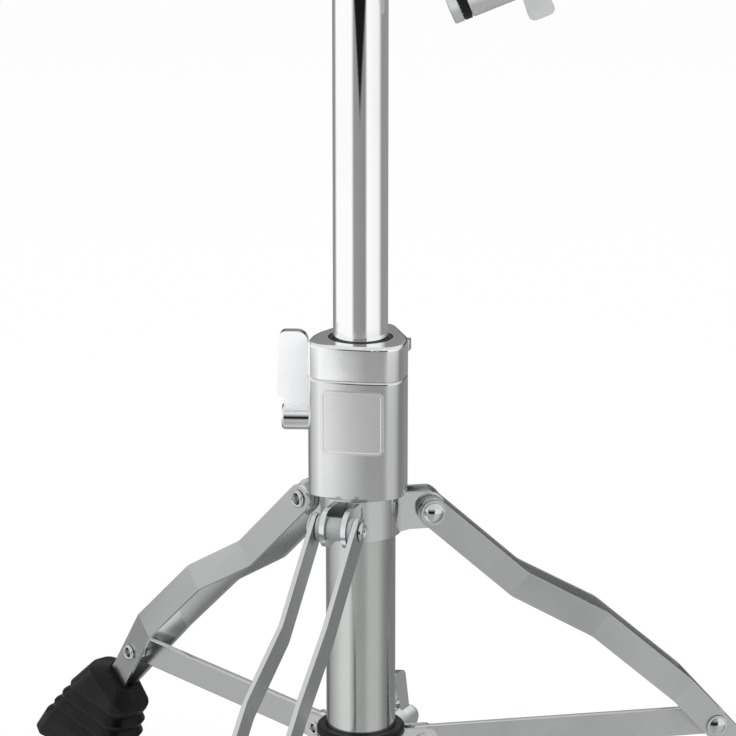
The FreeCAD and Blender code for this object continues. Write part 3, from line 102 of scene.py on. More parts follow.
class Effects:
    """Shader node groups that the finishes share."""

    def __init__(self) -> None:
        """Builds the groups once."""
        self.smudge = self._smudge()
        self.grain = self._grain()
        self.brush = self._brush()

    @staticmethod
    def _group(name: str, inputs: Dict[str, float], outputs: Sequence[str]) -> bpy.types.NodeTree:
        """Starts a group with its sockets.

        Args:
            name: the group's name.
            inputs: input names with their default values.
            outputs: output names.

        Returns:
            The group, with its input and output nodes inside.
        """
        group = bpy.data.node_groups.new(name, "ShaderNodeTree")
        for key, start in inputs.items():
            socket = group.interface.new_socket(key, in_out="INPUT", socket_type="NodeSocketFloat")
            socket.default_value = start
        for key in outputs:
            group.interface.new_socket(key, in_out="OUTPUT", socket_type="NodeSocketFloat")
        group.nodes.new("NodeGroupInput")
        group.nodes.new("NodeGroupOutput")
        return group

    def _smudge(self) -> bpy.types.NodeTree:
        """Cloudy handling marks: a mask that softens a polish here and there."""
        inputs = {"Scale": 30.0, "Low": 0.04, "High": 0.14}
        group = self._group("handling_marks", inputs, ["Roughness", "Mask"])
        nodes, links = group.nodes, group.links
        source, sink = nodes["Group Input"], nodes["Group Output"]
        place = nodes.new("ShaderNodeTexCoord")
        cloud = nodes.new("ShaderNodeTexNoise")
        cloud.inputs["Detail"].default_value = 5.0
        cloud.inputs["Roughness"].default_value = 0.62
        spread = nodes.new("ShaderNodeMapRange")
        spread.inputs["From Min"].default_value = 0.42
        spread.inputs["From Max"].default_value = 0.72
        level = nodes.new("ShaderNodeMapRange")
        links.new(place.outputs["Object"], cloud.inputs["Vector"])
        links.new(source.outputs["Scale"], cloud.inputs["Scale"])
        links.new(cloud.outputs["Fac"], spread.inputs["Value"])
        links.new(spread.outputs["Result"], level.inputs["Value"])
        links.new(source.outputs["Low"], level.inputs["To Min"])
        links.new(source.outputs["High"], level.inputs["To Max"])
        links.new(level.outputs["Result"], sink.inputs["Roughness"])
        links.new(spread.outputs["Result"], sink.inputs["Mask"])
        return group

    def _grain(self) -> bpy.types.NodeTree:
        """Fine moulded or cast grain: a height for a bump."""
        group = self._group("moulded_grain", {"Scale": 900.0, "Pits": 0.4}, ["Height"])
        nodes, links = group.nodes, group.links
        source, sink = nodes["Group Input"], nodes["Group Output"]
        place = nodes.new("ShaderNodeTexCoord")
        fine = nodes.new("ShaderNodeTexNoise")
        fine.inputs["Detail"].default_value = 3.0
        cells = nodes.new("ShaderNodeTexVoronoi")
        weigh = nodes.new("ShaderNodeMath")
        weigh.operation = "MULTIPLY"
        total = nodes.new("ShaderNodeMath")
        total.operation = "ADD"
        links.new(place.outputs["Object"], fine.inputs["Vector"])
        links.new(place.outputs["Object"], cells.inputs["Vector"])
        links.new(source.outputs["Scale"], fine.inputs["Scale"])
        links.new(source.outputs["Scale"], cells.inputs["Scale"])
        links.new(cells.outputs["Distance"], weigh.inputs[0])
        links.new(source.outputs["Pits"], weigh.inputs[1])
        links.new(fine.outputs["Fac"], total.inputs[0])
        links.new(weigh.outputs["Value"], total.inputs[1])
        links.new(total.outputs["Value"], sink.inputs["Height"])
        return group

    def _brush(self) -> bpy.types.NodeTree:
        """Upright brushed lines: a height for a bump."""
        group = self._group("brushed_lines", {"Scale": 2500.0}, ["Height"])
        nodes, links = group.nodes, group.links
        source, sink = nodes["Group Input"], nodes["Group Output"]
        place = nodes.new("ShaderNodeTexCoord")
        stretch = nodes.new("ShaderNodeMapping")
        stretch.inputs["Scale"].default_value = (1.0, 1.0, 0.02)
        lines = nodes.new("ShaderNodeTexNoise")
        lines.inputs["Detail"].default_value = 2.0
        links.new(place.outputs["Object"], stretch.inputs["Vector"])
        links.new(stretch.outputs["Vector"], lines.inputs["Vector"])
        links.new(source.outputs["Scale"], lines.inputs["Scale"])
        links.new(lines.outputs["Fac"], sink.inputs["Height"])
        return group


@dataclass(frozen=True)
class Finish:
    """A surface finish that becomes one material.

    Attributes:
        name: the material's name.
        colour: its main colour, linear.
        worn: the colour where it is handled or dusty, linear.
        metal: 1 for plated metal, 0 for rubber and plastic.
        polish: roughness where it is clean and where it is marked.
        marks: scale of the marks, per metre.
        grain: scale of the grain or of the brushed lines, per metre.
        relief: strength and depth in metres of the bump.
        brushed: whether the bump is brushed lines instead of grain.
        shine: strength of the surface reflection where it isn't metal.
    """

    name: str
    colour: Colour
    worn: Colour
    metal: float
    polish: Tuple[float, float]
    marks: float
    grain: float
    relief: Tuple[float, float]
    brushed: bool = False
    shine: float = 0.5

    def material(self, effects: Effects) -> bpy.types.Material:
        """Builds the finish as a node material.

        Args:
            effects: the shared node groups.

        Returns:
            The new material.
        """
        made = bpy.data.materials.new(self.name)
        made.use_nodes = True
        nodes, links = made.node_tree.nodes, made.node_tree.links
        shader = nodes["Principled BSDF"]
        shader.inputs["Metallic"].default_value = self.metal
        shader.inputs["Specular IOR Level"].default_value = self.shine
        smudge = nodes.new("ShaderNodeGroup")
        smudge.node_tree = effects.smudge
        smudge.inputs["Scale"].default_value = self.marks
        smudge.inputs["Low"].default_value = self.polish[0]
        smudge.inputs["High"].default_value = self.polish[1]
        tone = nodes.new("ShaderNodeMix")
        tone.data_type = "RGBA"
        tone.inputs["A"].default_value = (*self.colour, 1.0)
        tone.inputs["B"].default_value = (*self.worn, 1.0)
        skin = nodes.new("ShaderNodeGroup")
        skin.node_tree = effects.brush if self.brushed else effects.grain
        skin.inputs["Scale"].default_value = self.grain
        bump = nodes.new("ShaderNodeBump")
        bump.inputs["Strength"].default_value = self.relief[0]
        bump.inputs["Distance"].default_value = self.relief[1]
        links.new(smudge.outputs["Mask"], tone.inputs["Factor"])
        links.new(smudge.outputs["Roughness"], shader.inputs["Roughness"])
        links.new(tone.outputs["Result"], shader.inputs["Base Color"])
        links.new(skin.outputs["Height"], bump.inputs["Height"])
        links.new(bump.outputs["Normal"], shader.inputs["Normal"])
        return made


MIRROR_CHROME = Finish(
    "mirror_chrome", (0.97, 0.98, 0.97), (0.94, 0.95, 0.945), 1.0, (0.02, 0.05), 26.0, 1400.0,
    (0.01, 0.00003))
SATIN_TUBE = Finish(
    "satin_tube", (0.66, 0.68, 0.66), (0.63, 0.65, 0.63), 1.0, (0.14, 0.19), 30.0, 1800.0,
    (0.05, 0.00005), True)
SATIN_CAST = Finish(
    "satin_cast", (0.80, 0.815, 0.805), (0.77, 0.785, 0.775), 1.0, (0.12, 0.18), 45.0, 700.0, (0.02, 0.0001))
POLISHED_CAST = Finish(
    "polished_cast", (0.94, 0.95, 0.945), (0.90, 0.91, 0.905), 1.0, (0.07, 0.12), 45.0, 700.0, (0.02, 0.0001))
BADGE_BRUSHED = Finish(
    "badge_brushed", (0.88, 0.88, 0.875), (0.84, 0.84, 0.835), 0.86, (0.28, 0.36), 60.0, 2600.0,
    (0.12, 0.0001), True)
# Painted reflection: a near-white, barely metallic colour for the clamp lever's broad faces, standing in for
# plated metal that reflects a white room.
PAINTED_REFLECTION_WHITE = Finish(
    "pearl_cast", (0.98, 0.985, 0.99), (0.94, 0.945, 0.95), 0.15, (0.12, 0.2), 50.0, 600.0, (0.03, 0.0001))
BRIGHT_CAST = Finish(
    "bright_cast", (0.90, 0.91, 0.92), (0.84, 0.85, 0.87), 1.0, (0.10, 0.18), 50.0, 600.0, (0.04, 0.0001))
# Plated castings with a painted reflection mixed in: a share of diffuse pale grey lightens them where their
# reflections would run dark.
TILTER_CAST = Finish(
    "tilter_cast", (0.86, 0.87, 0.87), (0.80, 0.81, 0.82), 0.72, (0.14, 0.24), 50.0, 500.0, (0.02, 0.0001))
LEG_STEEL = Finish(
    "leg_steel", (0.63, 0.65, 0.64), (0.59, 0.61, 0.60), 1.0, (0.26, 0.32), 40.0, 900.0, (0.02, 0.00006))
# Painted highlight: a lighter, smoother copy of the leg steel on the pressed strips' edges, standing for the
# bright rims that light draws along them.
LEG_EDGE_HIGHLIGHT = Finish(
    "leg_edge", (0.75, 0.77, 0.76), (0.70, 0.72, 0.71), 1.0, (0.12, 0.20), 40.0, 900.0, (0.02, 0.00006))
RIVET_STEEL = Finish(
    "rivet_steel", (0.72, 0.73, 0.74), (0.60, 0.61, 0.63), 1.0, (0.10, 0.20), 120.0, 900.0, (0.05, 0.00008))
BLACK_RUBBER = Finish(
    "black_rubber", (0.003, 0.003, 0.0035), (0.008, 0.0085, 0.009), 0.0, (0.24, 0.36), 90.0, 1500.0,
    (0.15, 0.0002), False, 0.15)
BLACK_NYLON = Finish(
    "black_nylon", (0.006, 0.006, 0.007), (0.012, 0.012, 0.013), 0.0, (0.3, 0.45), 70.0, 2200.0,
    (0.15, 0.0001), False, 0.14)
GREY_NYLON = Finish(
    "grey_nylon", (0.33, 0.365, 0.37), (0.28, 0.31, 0.315), 0.0, (0.35, 0.5), 80.0, 2200.0, (0.1, 0.0001))


class Workshop:
    """Takes softened copies of the model's nodes, and puts finished pieces on their bodies.

    Attributes:
        MERGE: distance in metres within which a copy's points are merged.
        FLAT: triangles that meet within this angle in radians are joined.
        SIDE: a pressed strip's faces turned further than this cosine from its flat sides are edges.
    """

    MERGE = 0.002 * MM
    FLAT = math.radians(0.4)
    SIDE = 0.75

    def __init__(self, frame: Dict) -> None:
        """Reads the model's nodes, slots and bodies.

        Args:
            frame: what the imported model's loader returned.
        """
        record = frame["record"]
        self.nodes = frame["nodes"]
        self.slots = {entry["node"]: entry["material_slot"] for entry in record["subparts"]}
        self.bodies = {node: body for body, names in record["behaviour"]["bodies"].items() for node in names}
        self.effects = Effects()
        self.made: Dict[str, bpy.types.Material] = {}

    def material(self, finish: Finish) -> bpy.types.Material:
        """The material of a finish, built on first use."""
        if finish.name not in self.made:
            self.made[finish.name] = finish.material(self.effects)
        return self.made[finish.name]

    def copy(self, node: str) -> bmesh.types.BMesh:
        """Copies a node's mesh, merged and with its flat triangles joined.

        Args:
            node: the node's name.

        Returns:
            The copy, still to be placed.
        """
        mesh = bmesh.new()
        mesh.from_mesh(self.nodes[node].data)
        bmesh.ops.remove_doubles(mesh, verts=mesh.verts[:], dist=self.MERGE)
        bmesh.ops.dissolve_limit(mesh, angle_limit=self.FLAT, verts=mesh.verts[:], edges=mesh.edges[:])
        return mesh

    def place(self, mesh: bmesh.types.BMesh, name: str, finish: Finish, node: str, sharp: float = 34.0,
              edge: Optional[Finish] = None) -> bpy.types.Object:
        """Makes a mesh the piece that stands for a node.

        Args:
            mesh: the finished mesh, which is freed.
            name: the piece's name.
            finish: its finish.
            node: the node that it replaces.
            sharp: edges over this angle in degrees stay sharp.
            edge: finish of the faces with material number one, if there are any.

        Returns:
            The new piece.
        """
        data = bpy.data.meshes.new(name)
        mesh.to_mesh(data)
        mesh.free()
        data.polygons.foreach_set("use_smooth", [True] * len(data.polygons))
        data.set_sharp_from_angle(angle=math.radians(sharp))
        data.materials.append(self.material(finish))
        if edge is not None:
            data.materials.append(self.material(edge))
        piece = bpy.data.objects.new(name, data)
        bpy.context.scene.collection.objects.link(piece)
        level = piece.modifiers.new("level_faces", "WEIGHTED_NORMAL")
        level.keep_sharp = True
        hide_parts(node)
        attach(piece, self.bodies[node])
        log.info("%s: %d faces", name, len(data.polygons))
        return piece

    def rounded(self, node: str, width: float, segments: int = 2, corner: float = 25.0,
                mark: int = -1) -> bmesh.types.BMesh:
        """Copies a node with its edges rounded.

        Args:
            node: the node's name.
            width: width of the rounding in millimetres.
            segments: its segments.
            corner: edges over this angle in degrees are rounded.
            mark: material number of the rounding, or -1 for that of its neighbours.

        Returns:
            The copy, still to be placed.
        """
        mesh = self.copy(node)
        limit = math.radians(corner)
        edges = [edge for edge in mesh.edges if edge.is_manifold and edge.calc_face_angle(0.0) > limit]
        bmesh.ops.bevel(mesh, geom=edges, offset=width * MM, offset_type="OFFSET", segments=segments,
                        profile=0.5, affect="EDGES", clamp_overlap=True, material=mark, loop_slide=True)
        mesh.normal_update()
        return mesh

    def soften(self, node: str, finish: Finish, width: float, segments: int = 2,
               corner: float = 25.0) -> None:
        """Replaces a node with a copy whose edges are rounded.

        Args:
            node: the node's name.
            finish: its finish.
            width: width of the rounding in millimetres.
            segments: its segments.
            corner: edges over this angle in degrees are rounded.
        """
        self.place(self.rounded(node, width, segments, corner), f"{node}_soft", finish, node)

    def press(self, node: str, width: float, across: Vector) -> None:
        """Replaces a pressed strip with a copy that has rounded edges in a lighter, smoother finish; the
        lighter colour is a painted highlight.

        Args:
            node: the node's name.
            width: width of the rounding in millimetres.
            across: the way that the flat sides face.
        """
        mesh = self.rounded(node, width, mark=1)
        # Faces that don't face the flat sides are edges and take the lighter finish, a painted highlight.
        for face in mesh.faces:
            face.material_index = 1 if abs(face.normal.dot(across)) < self.SIDE else 0
        self.place(mesh, f"{node}_pressed", LEG_STEEL, node, edge=LEG_EDGE_HIGHLIGHT)


def turn_profile(points: Sequence[Point], steps: int) -> bmesh.types.BMesh:
    """Spins a closed half section about the upright axis.

    Args:
        points: radius and height of its corners in millimetres, in order round the section.
        steps: segments of the full turn.

    Returns:
        The turned mesh, with its normals outwards.
    """
    mesh = bmesh.new()
    corners = [mesh.verts.new((radius * MM, 0.0, height * MM)) for radius, height in points]
    sides = [mesh.edges.new((a, b)) for a, b in zip(corners, corners[1:] + corners[:1])]
    bmesh.ops.spin(mesh, geom=corners + sides, cent=(0.0, 0.0, 0.0), axis=(0.0, 0.0, 1.0), angle=math.tau,
                   steps=steps, use_merge=True)
    bmesh.ops.remove_doubles(mesh, verts=mesh.verts[:], dist=Workshop.MERGE)
    bmesh.ops.recalc_face_normals(mesh, faces=mesh.faces[:])
    return mesh


@dataclass
class Tubes:
    """The telescopic tubes and the small moulded rings in them, sizes in millimetres.

    Attributes:
        upper_wall: wall of the upper tube.
        lower_wall: wall of the lower tube.
        lip: rounding of the tubes' ends.
        seat_gap: clearance of the guide ring on the upper tube.
        stop_gap: what the guide ring stays short of its stop.
        ring_round: rounding of the moulded rings.
        steps: segments round a tube.
    """

    upper_wall: float = 1.5
    lower_wall: float = 1.6
    lip: float = 0.4
    seat_gap: float = 0.03
    stop_gap: float = 0.15
    ring_round: float = 0.3
    steps: int = 128

    def _turn(self, shop: Workshop, node: str, inner: float, short: float, finish: Finish) -> None:
        """Replaces an upright tube or ring with a finely turned one with rounded lips.

        Args:
            shop: the workshop.
            node: the node's name.
            inner: radius of its bore.
            short: what its top stays below the node's.
            finish: its finish.
        """
        low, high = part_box(node)
        outer, bottom, top, lip = high.x / MM, low.z / MM, high.z / MM - short, self.lip
        section = [(inner, bottom), (outer - lip, bottom), (outer, bottom + lip), (outer, top - lip),
                   (outer - lip, top), (inner, top)]
        shop.place(turn_profile(section, self.steps), f"{node}_turned", finish, node)

    def build(self, shop: Workshop) -> None:
        """Builds the tubes and their rings."""
        upper, lower = (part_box(node)[1].x / MM for node in ("upper_tube", "lower_tube"))
        self._turn(shop, "upper_tube", upper - self.upper_wall, 0.0, MIRROR_CHROME)
        self._turn(shop, "lower_tube", lower - self.lower_wall, 0.0, SATIN_TUBE)
        self._turn(shop, "tube_guide", upper + self.seat_gap, self.stop_gap, BLACK_NYLON)
        for ring in ("tube_plug", "height_bush"):
            shop.soften(ring, BLACK_NYLON, self.ring_round)


@dataclass
class HeightClamp:
    """Height collar with its badge and clamp lever, and the memory lock over it, sizes in millimetres.

    Attributes:
        collar_round: rounding of the height collar.
        lock_round: rounding of the memory lock.
        screw_round: rounding of the lock's key screw.
        liner_round: rounding of the lock's liner.
        border: width of the badge's raised border.
        sunk: depth of the badge's field below the border.
        lever_round: rounding of the clamp lever.
        lever_faces: the way that the lever's flat side faces, in degrees.
        hub_top: height of the lever's hub.
    """

    collar_round: float = 0.45
    lock_round: float = 0.4
    screw_round: float = 0.35
    liner_round: float = 0.25
    border: float = 0.9
    sunk: float = 0.25
    lever_round: float = 1.3
    lever_faces: float = 286.5
    hub_top: float = 206.2

    def _badge(self, shop: Workshop) -> None:
        """A bare brushed plate with a fine raised border."""
        mesh = shop.copy("badge_plate")
        mesh.normal_update()
        facing = [face for face in mesh.faces if face.normal.y < -0.9]
        ahead = sum((face.normal * face.calc_area() for face in facing), Vector()).normalized()
        front = [face for face in mesh.faces if face.normal.dot(ahead) > 0.95]
        bmesh.ops.inset_region(mesh, faces=front, thickness=self.border * MM, depth=0.0, use_even_offset=True,
                               use_boundary=True)
        bmesh.ops.inset_region(mesh, faces=front, thickness=self.sunk * MM, depth=-self.sunk * MM,
                               use_even_offset=True, use_boundary=True)
        shop.place(mesh, "badge_bordered", BADGE_BRUSHED, "badge_plate", 20.0)

    def _lever(self, shop: Workshop) -> None:
        """The clamp lever: a paddle whose broad faces are painted near white as a painted reflection, with
        bright plated edges over a bright plated hub.
        """
        turn = math.radians(self.lever_faces)
        ahead = Vector((math.cos(turn), math.sin(turn), 0.0))
        mesh = shop.rounded("height_wing_bolt", self.lever_round, 4)
        # The paddle's broad faces take the painted reflection; its edges and hub keep the plated finish.
        for face in mesh.faces:
            paddle = face.calc_center_median().z > self.hub_top * MM
            face.material_index = 0 if paddle and abs(face.normal.dot(ahead)) > 0.6 else 1
        shop.place(mesh, "height_lever", PAINTED_REFLECTION_WHITE, "height_wing_bolt", edge=BRIGHT_CAST)

    def build(self, shop: Workshop) -> None:
        """Builds the clamp's pieces."""
        self._badge(shop)
        shop.soften("height_collar", SATIN_CAST, self.collar_round)
        shop.soften("memory_lock", POLISHED_CAST, self.lock_round)
        shop.soften("lock_screw", RIVET_STEEL, self.screw_round)
        shop.soften("lock_liner", BLACK_NYLON, self.liner_round)
        self._lever(shop)


@dataclass
class Tripod:
    """Leg collar, double-strip legs and ribbed feet, sizes in millimetres.

    Attributes:
        collar_round: rounding of the leg collar.
        bush_round: rounding of the spacer bushes.
        strip_round: rounding of the pressed strips' edges.
        foot_round: rounding of the feet's ribs.
        foot_corner: edges of a foot over this angle in degrees are rounded.
    """

    collar_round: float = 0.35
    bush_round: float = 0.3
    strip_round: float = 0.35
    foot_round: float = 0.55
    foot_corner: float = 18.0

    def build(self, shop: Workshop) -> None:
        """Builds the tripod's pieces."""
        shop.soften("leg_collar", SATIN_CAST, self.collar_round)
        shop.soften("leg_pivot_rivets", RIVET_STEEL, RIVET_ROUND)
        shop.soften("leg_pivot_bushes", GREY_NYLON, self.bush_round)
        for leg in Leg:
            for side in ("left", "right"):
                shop.press(f"{leg.label}_leg_{side}_strip", self.strip_round, leg.across)
            shop.soften(f"{leg.label}_foot", BLACK_RUBBER, self.foot_round, corner=self.foot_corner)
            shop.soften(f"{leg.label}_foot_rivet", RIVET_STEEL, RIVET_ROUND)


@dataclass
class Braces:
    """Sliding lower collar with its wing bolt and the three braces, sizes in millimetres.

    Attributes:
        collar_round: rounding of the lower collar.
        sleeve_round: rounding of the collar's sleeve.
        brace_round: rounding of the flat braces' edges.
        wing_round: rounding of the wing bolt.
    """

    collar_round: float = 0.5
    sleeve_round: float = 0.3
    brace_round: float = 0.5
    wing_round: float = 1.0

    def build(self, shop: Workshop) -> None:
        """Builds the lower collar's and the braces' pieces."""
        shop.soften("lower_collar", SATIN_CAST, self.collar_round)
        shop.soften("lower_sleeve", BLACK_NYLON, self.sleeve_round)
        shop.soften("brace_rivets", RIVET_STEEL, RIVET_ROUND)
        shop.soften("lower_wing_bolt", BRIGHT_CAST, self.wing_round, 3)
        for leg in Leg:
            shop.press(f"{leg.label}_brace", self.brace_round, leg.across)


@dataclass
class Tilter:
    """Friction tilter between the upper tube and the basket, sizes in millimetres.

    Attributes:
        cast_round: rounding of the castings.
        washer_round: rounding of the washer and the bolt.
        wing_round: rounding of the wing nut.
    """

    cast_round: float = 0.6
    washer_round: float = 0.3
    wing_round: float = 1.0

    def build(self, shop: Workshop) -> None:
        """Builds the tilter's pieces."""
        shop.soften("tilter_base", TILTER_CAST, self.cast_round, 3)
        shop.soften("basket_bracket", TILTER_CAST, self.cast_round, 3)
        shop.soften("tilter_washer", BLACK_NYLON, self.washer_round)
        shop.soften("tilter_bolt", RIVET_STEEL, self.washer_round)
        shop.soften("tilter_wing_nut", TILTER_CAST, self.wing_round, 3)


@dataclass
class Basket:
    """Threaded shaft, fluted nut, hub, arms and rubber grips, sizes in millimetres.

    Attributes:
        shank_top: height of the shaft's plain shank.
        thread_top: height of the thread's end.
        core: radius of the thread's core.
        pitch: pitch of the thread.
        rim: radius of the nut's rim.
        dish: depth of the nut's dish.
        rim_wall: width of the nut's raised rim.
        sleeve: radius of the nut's sleeve.
        sleeve_long: length of the sleeve under the rim.
        flutes: number of flutes round the rim.
        flute: depth of a flute.
        flute_wall: how far a flute keeps from its face's sides.
        chamfer: chamfer of the shaft's and the nut's tops.
        under_chamfer: chamfer under the nut's rim.
        sleeve_chamfer: chamfer of the nut's sleeve.
        bore_gap: clearance of the nut's bore round the shaft.
        run_out: length over which the shaft narrows to the thread's core.
        root_sunk: how deep the thread's root sits in the core.
        crest_gap: what the thread's crest stays inside the shank's radius.
        shaft_steps: segments round the shaft.
        thread_steps: segments in a turn of the thread.
        hub_round: rounding of the hub.
        arm_round: rounding of the arms.
        grip_round: rounding of the rubber grips.
    """

    shank_top: float = 428.5
    thread_top: float = 458.0
    core: float = 5.15
    pitch: float = 1.75
    rim: float = 27.0
    dish: float = 5.0
    rim_wall: float = 3.0
    sleeve: float = 12.0
    sleeve_long: float = 8.0
    flutes: int = 72
    flute: float = 0.6
    flute_wall: float = 0.2
    chamfer: float = 1.0
    under_chamfer: float = 1.5
    sleeve_chamfer: float = 0.6
    bore_gap: float = 0.12
    run_out: float = 0.8
    root_sunk: float = 0.1
    crest_gap: float = 0.08
    shaft_steps: int = 64
    thread_steps: int = 40
    hub_round: float = 0.5
    arm_round: float = 0.8
    grip_round: float = 0.9

    def _shaft(self, shop: Workshop) -> None:
        """Shaft with a screw thread between its shank and its top."""
        low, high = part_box("basket_shaft")
        radius, bottom, top = high.x / MM, low.z / MM, high.z / MM
        mesh = turn_profile([
            (0.0, bottom), (radius, bottom), (radius, self.shank_top),
            (self.core, self.shank_top + self.run_out), (self.core, self.thread_top - self.run_out),
            (radius, self.thread_top), (radius, top - self.chamfer), (radius - self.chamfer, top),
            (0.0, top)], self.shaft_steps)
        start, steps = self.shank_top - self.run_out / 2.0, self.thread_steps
        root, crest = self.core - self.root_sunk, radius - self.crest_gap
        turns = int((self.thread_top - self.shank_top) / self.pitch)
        ridge = [mesh.verts.new((out * MM, 0.0, (start + up * self.pitch) * MM))
                 for out, up in ((root, 0.05), (crest, 0.44), (crest, 0.56), (root, 0.95))]
        sides = [mesh.edges.new(pair) for pair in zip(ridge, ridge[1:] + ridge[:1])]
        spun = bmesh.ops.spin(mesh, geom=ridge + sides, cent=(0.0, 0.0, 0.0), axis=UP, angle=math.tau * turns,
                              dvec=UP * self.pitch * MM / steps, steps=steps * turns)
        for end in (sides, [item for item in spun["geom_last"] if isinstance(item, bmesh.types.BMEdge)]):
            bmesh.ops.contextual_create(mesh, geom=end)
        bmesh.ops.recalc_face_normals(mesh, faces=mesh.faces[:])
        shop.place(mesh, "basket_shaft_threaded", RIVET_STEEL, "basket_shaft")

    def _nut(self, shop: Workshop) -> None:
        """Dished nut with a fluted rim."""
        low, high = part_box("basket_nut")
        bottom, top = low.z / MM, high.z / MM
        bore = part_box("basket_shaft")[1].x / MM + self.bore_gap
        under = bottom + self.sleeve_long
        mesh = turn_profile([
            (bore, bottom), (self.sleeve - self.sleeve_chamfer, bottom),
            (self.sleeve, bottom + self.sleeve_chamfer), (self.sleeve, under),
            (self.rim - self.under_chamfer, under), (self.rim, under + self.under_chamfer),
            (self.rim, top - self.chamfer), (self.rim - self.chamfer, top), (self.rim - self.rim_wall, top),
            (self.rim - self.rim_wall, top - self.dish), (bore, top - self.dish)], 2 * self.flutes)
        mesh.normal_update()
        middles = {face: face.calc_center_median() for face in mesh.faces if abs(face.normal.z) < 0.1}
        edge = (self.rim - self.flute) * MM
        walls = [face for face, middle in middles.items() if middle.xy.length > edge]
        walls.sort(key=lambda face: math.atan2(middles[face].y, middles[face].x))
        bmesh.ops.inset_individual(mesh, faces=walls[::2], thickness=self.flute_wall * MM,
                                   depth=-self.flute * MM)
        shop.place(mesh, "basket_nut_fluted", TILTER_CAST, "basket_nut", 20.0)

    def build(self, shop: Workshop) -> None:
        """Builds the basket's pieces."""
        self._shaft(shop)
        self._nut(shop)
        shop.soften("basket_hub", TILTER_CAST, self.hub_round)
        shop.soften("arm_pins", RIVET_STEEL, RIVET_ROUND)
        for side in Leg:
            shop.press(f"{side.label}_arm", self.arm_round, UP)
            shop.soften(f"{side.label}_grip", BLACK_RUBBER, self.grip_round, 3)


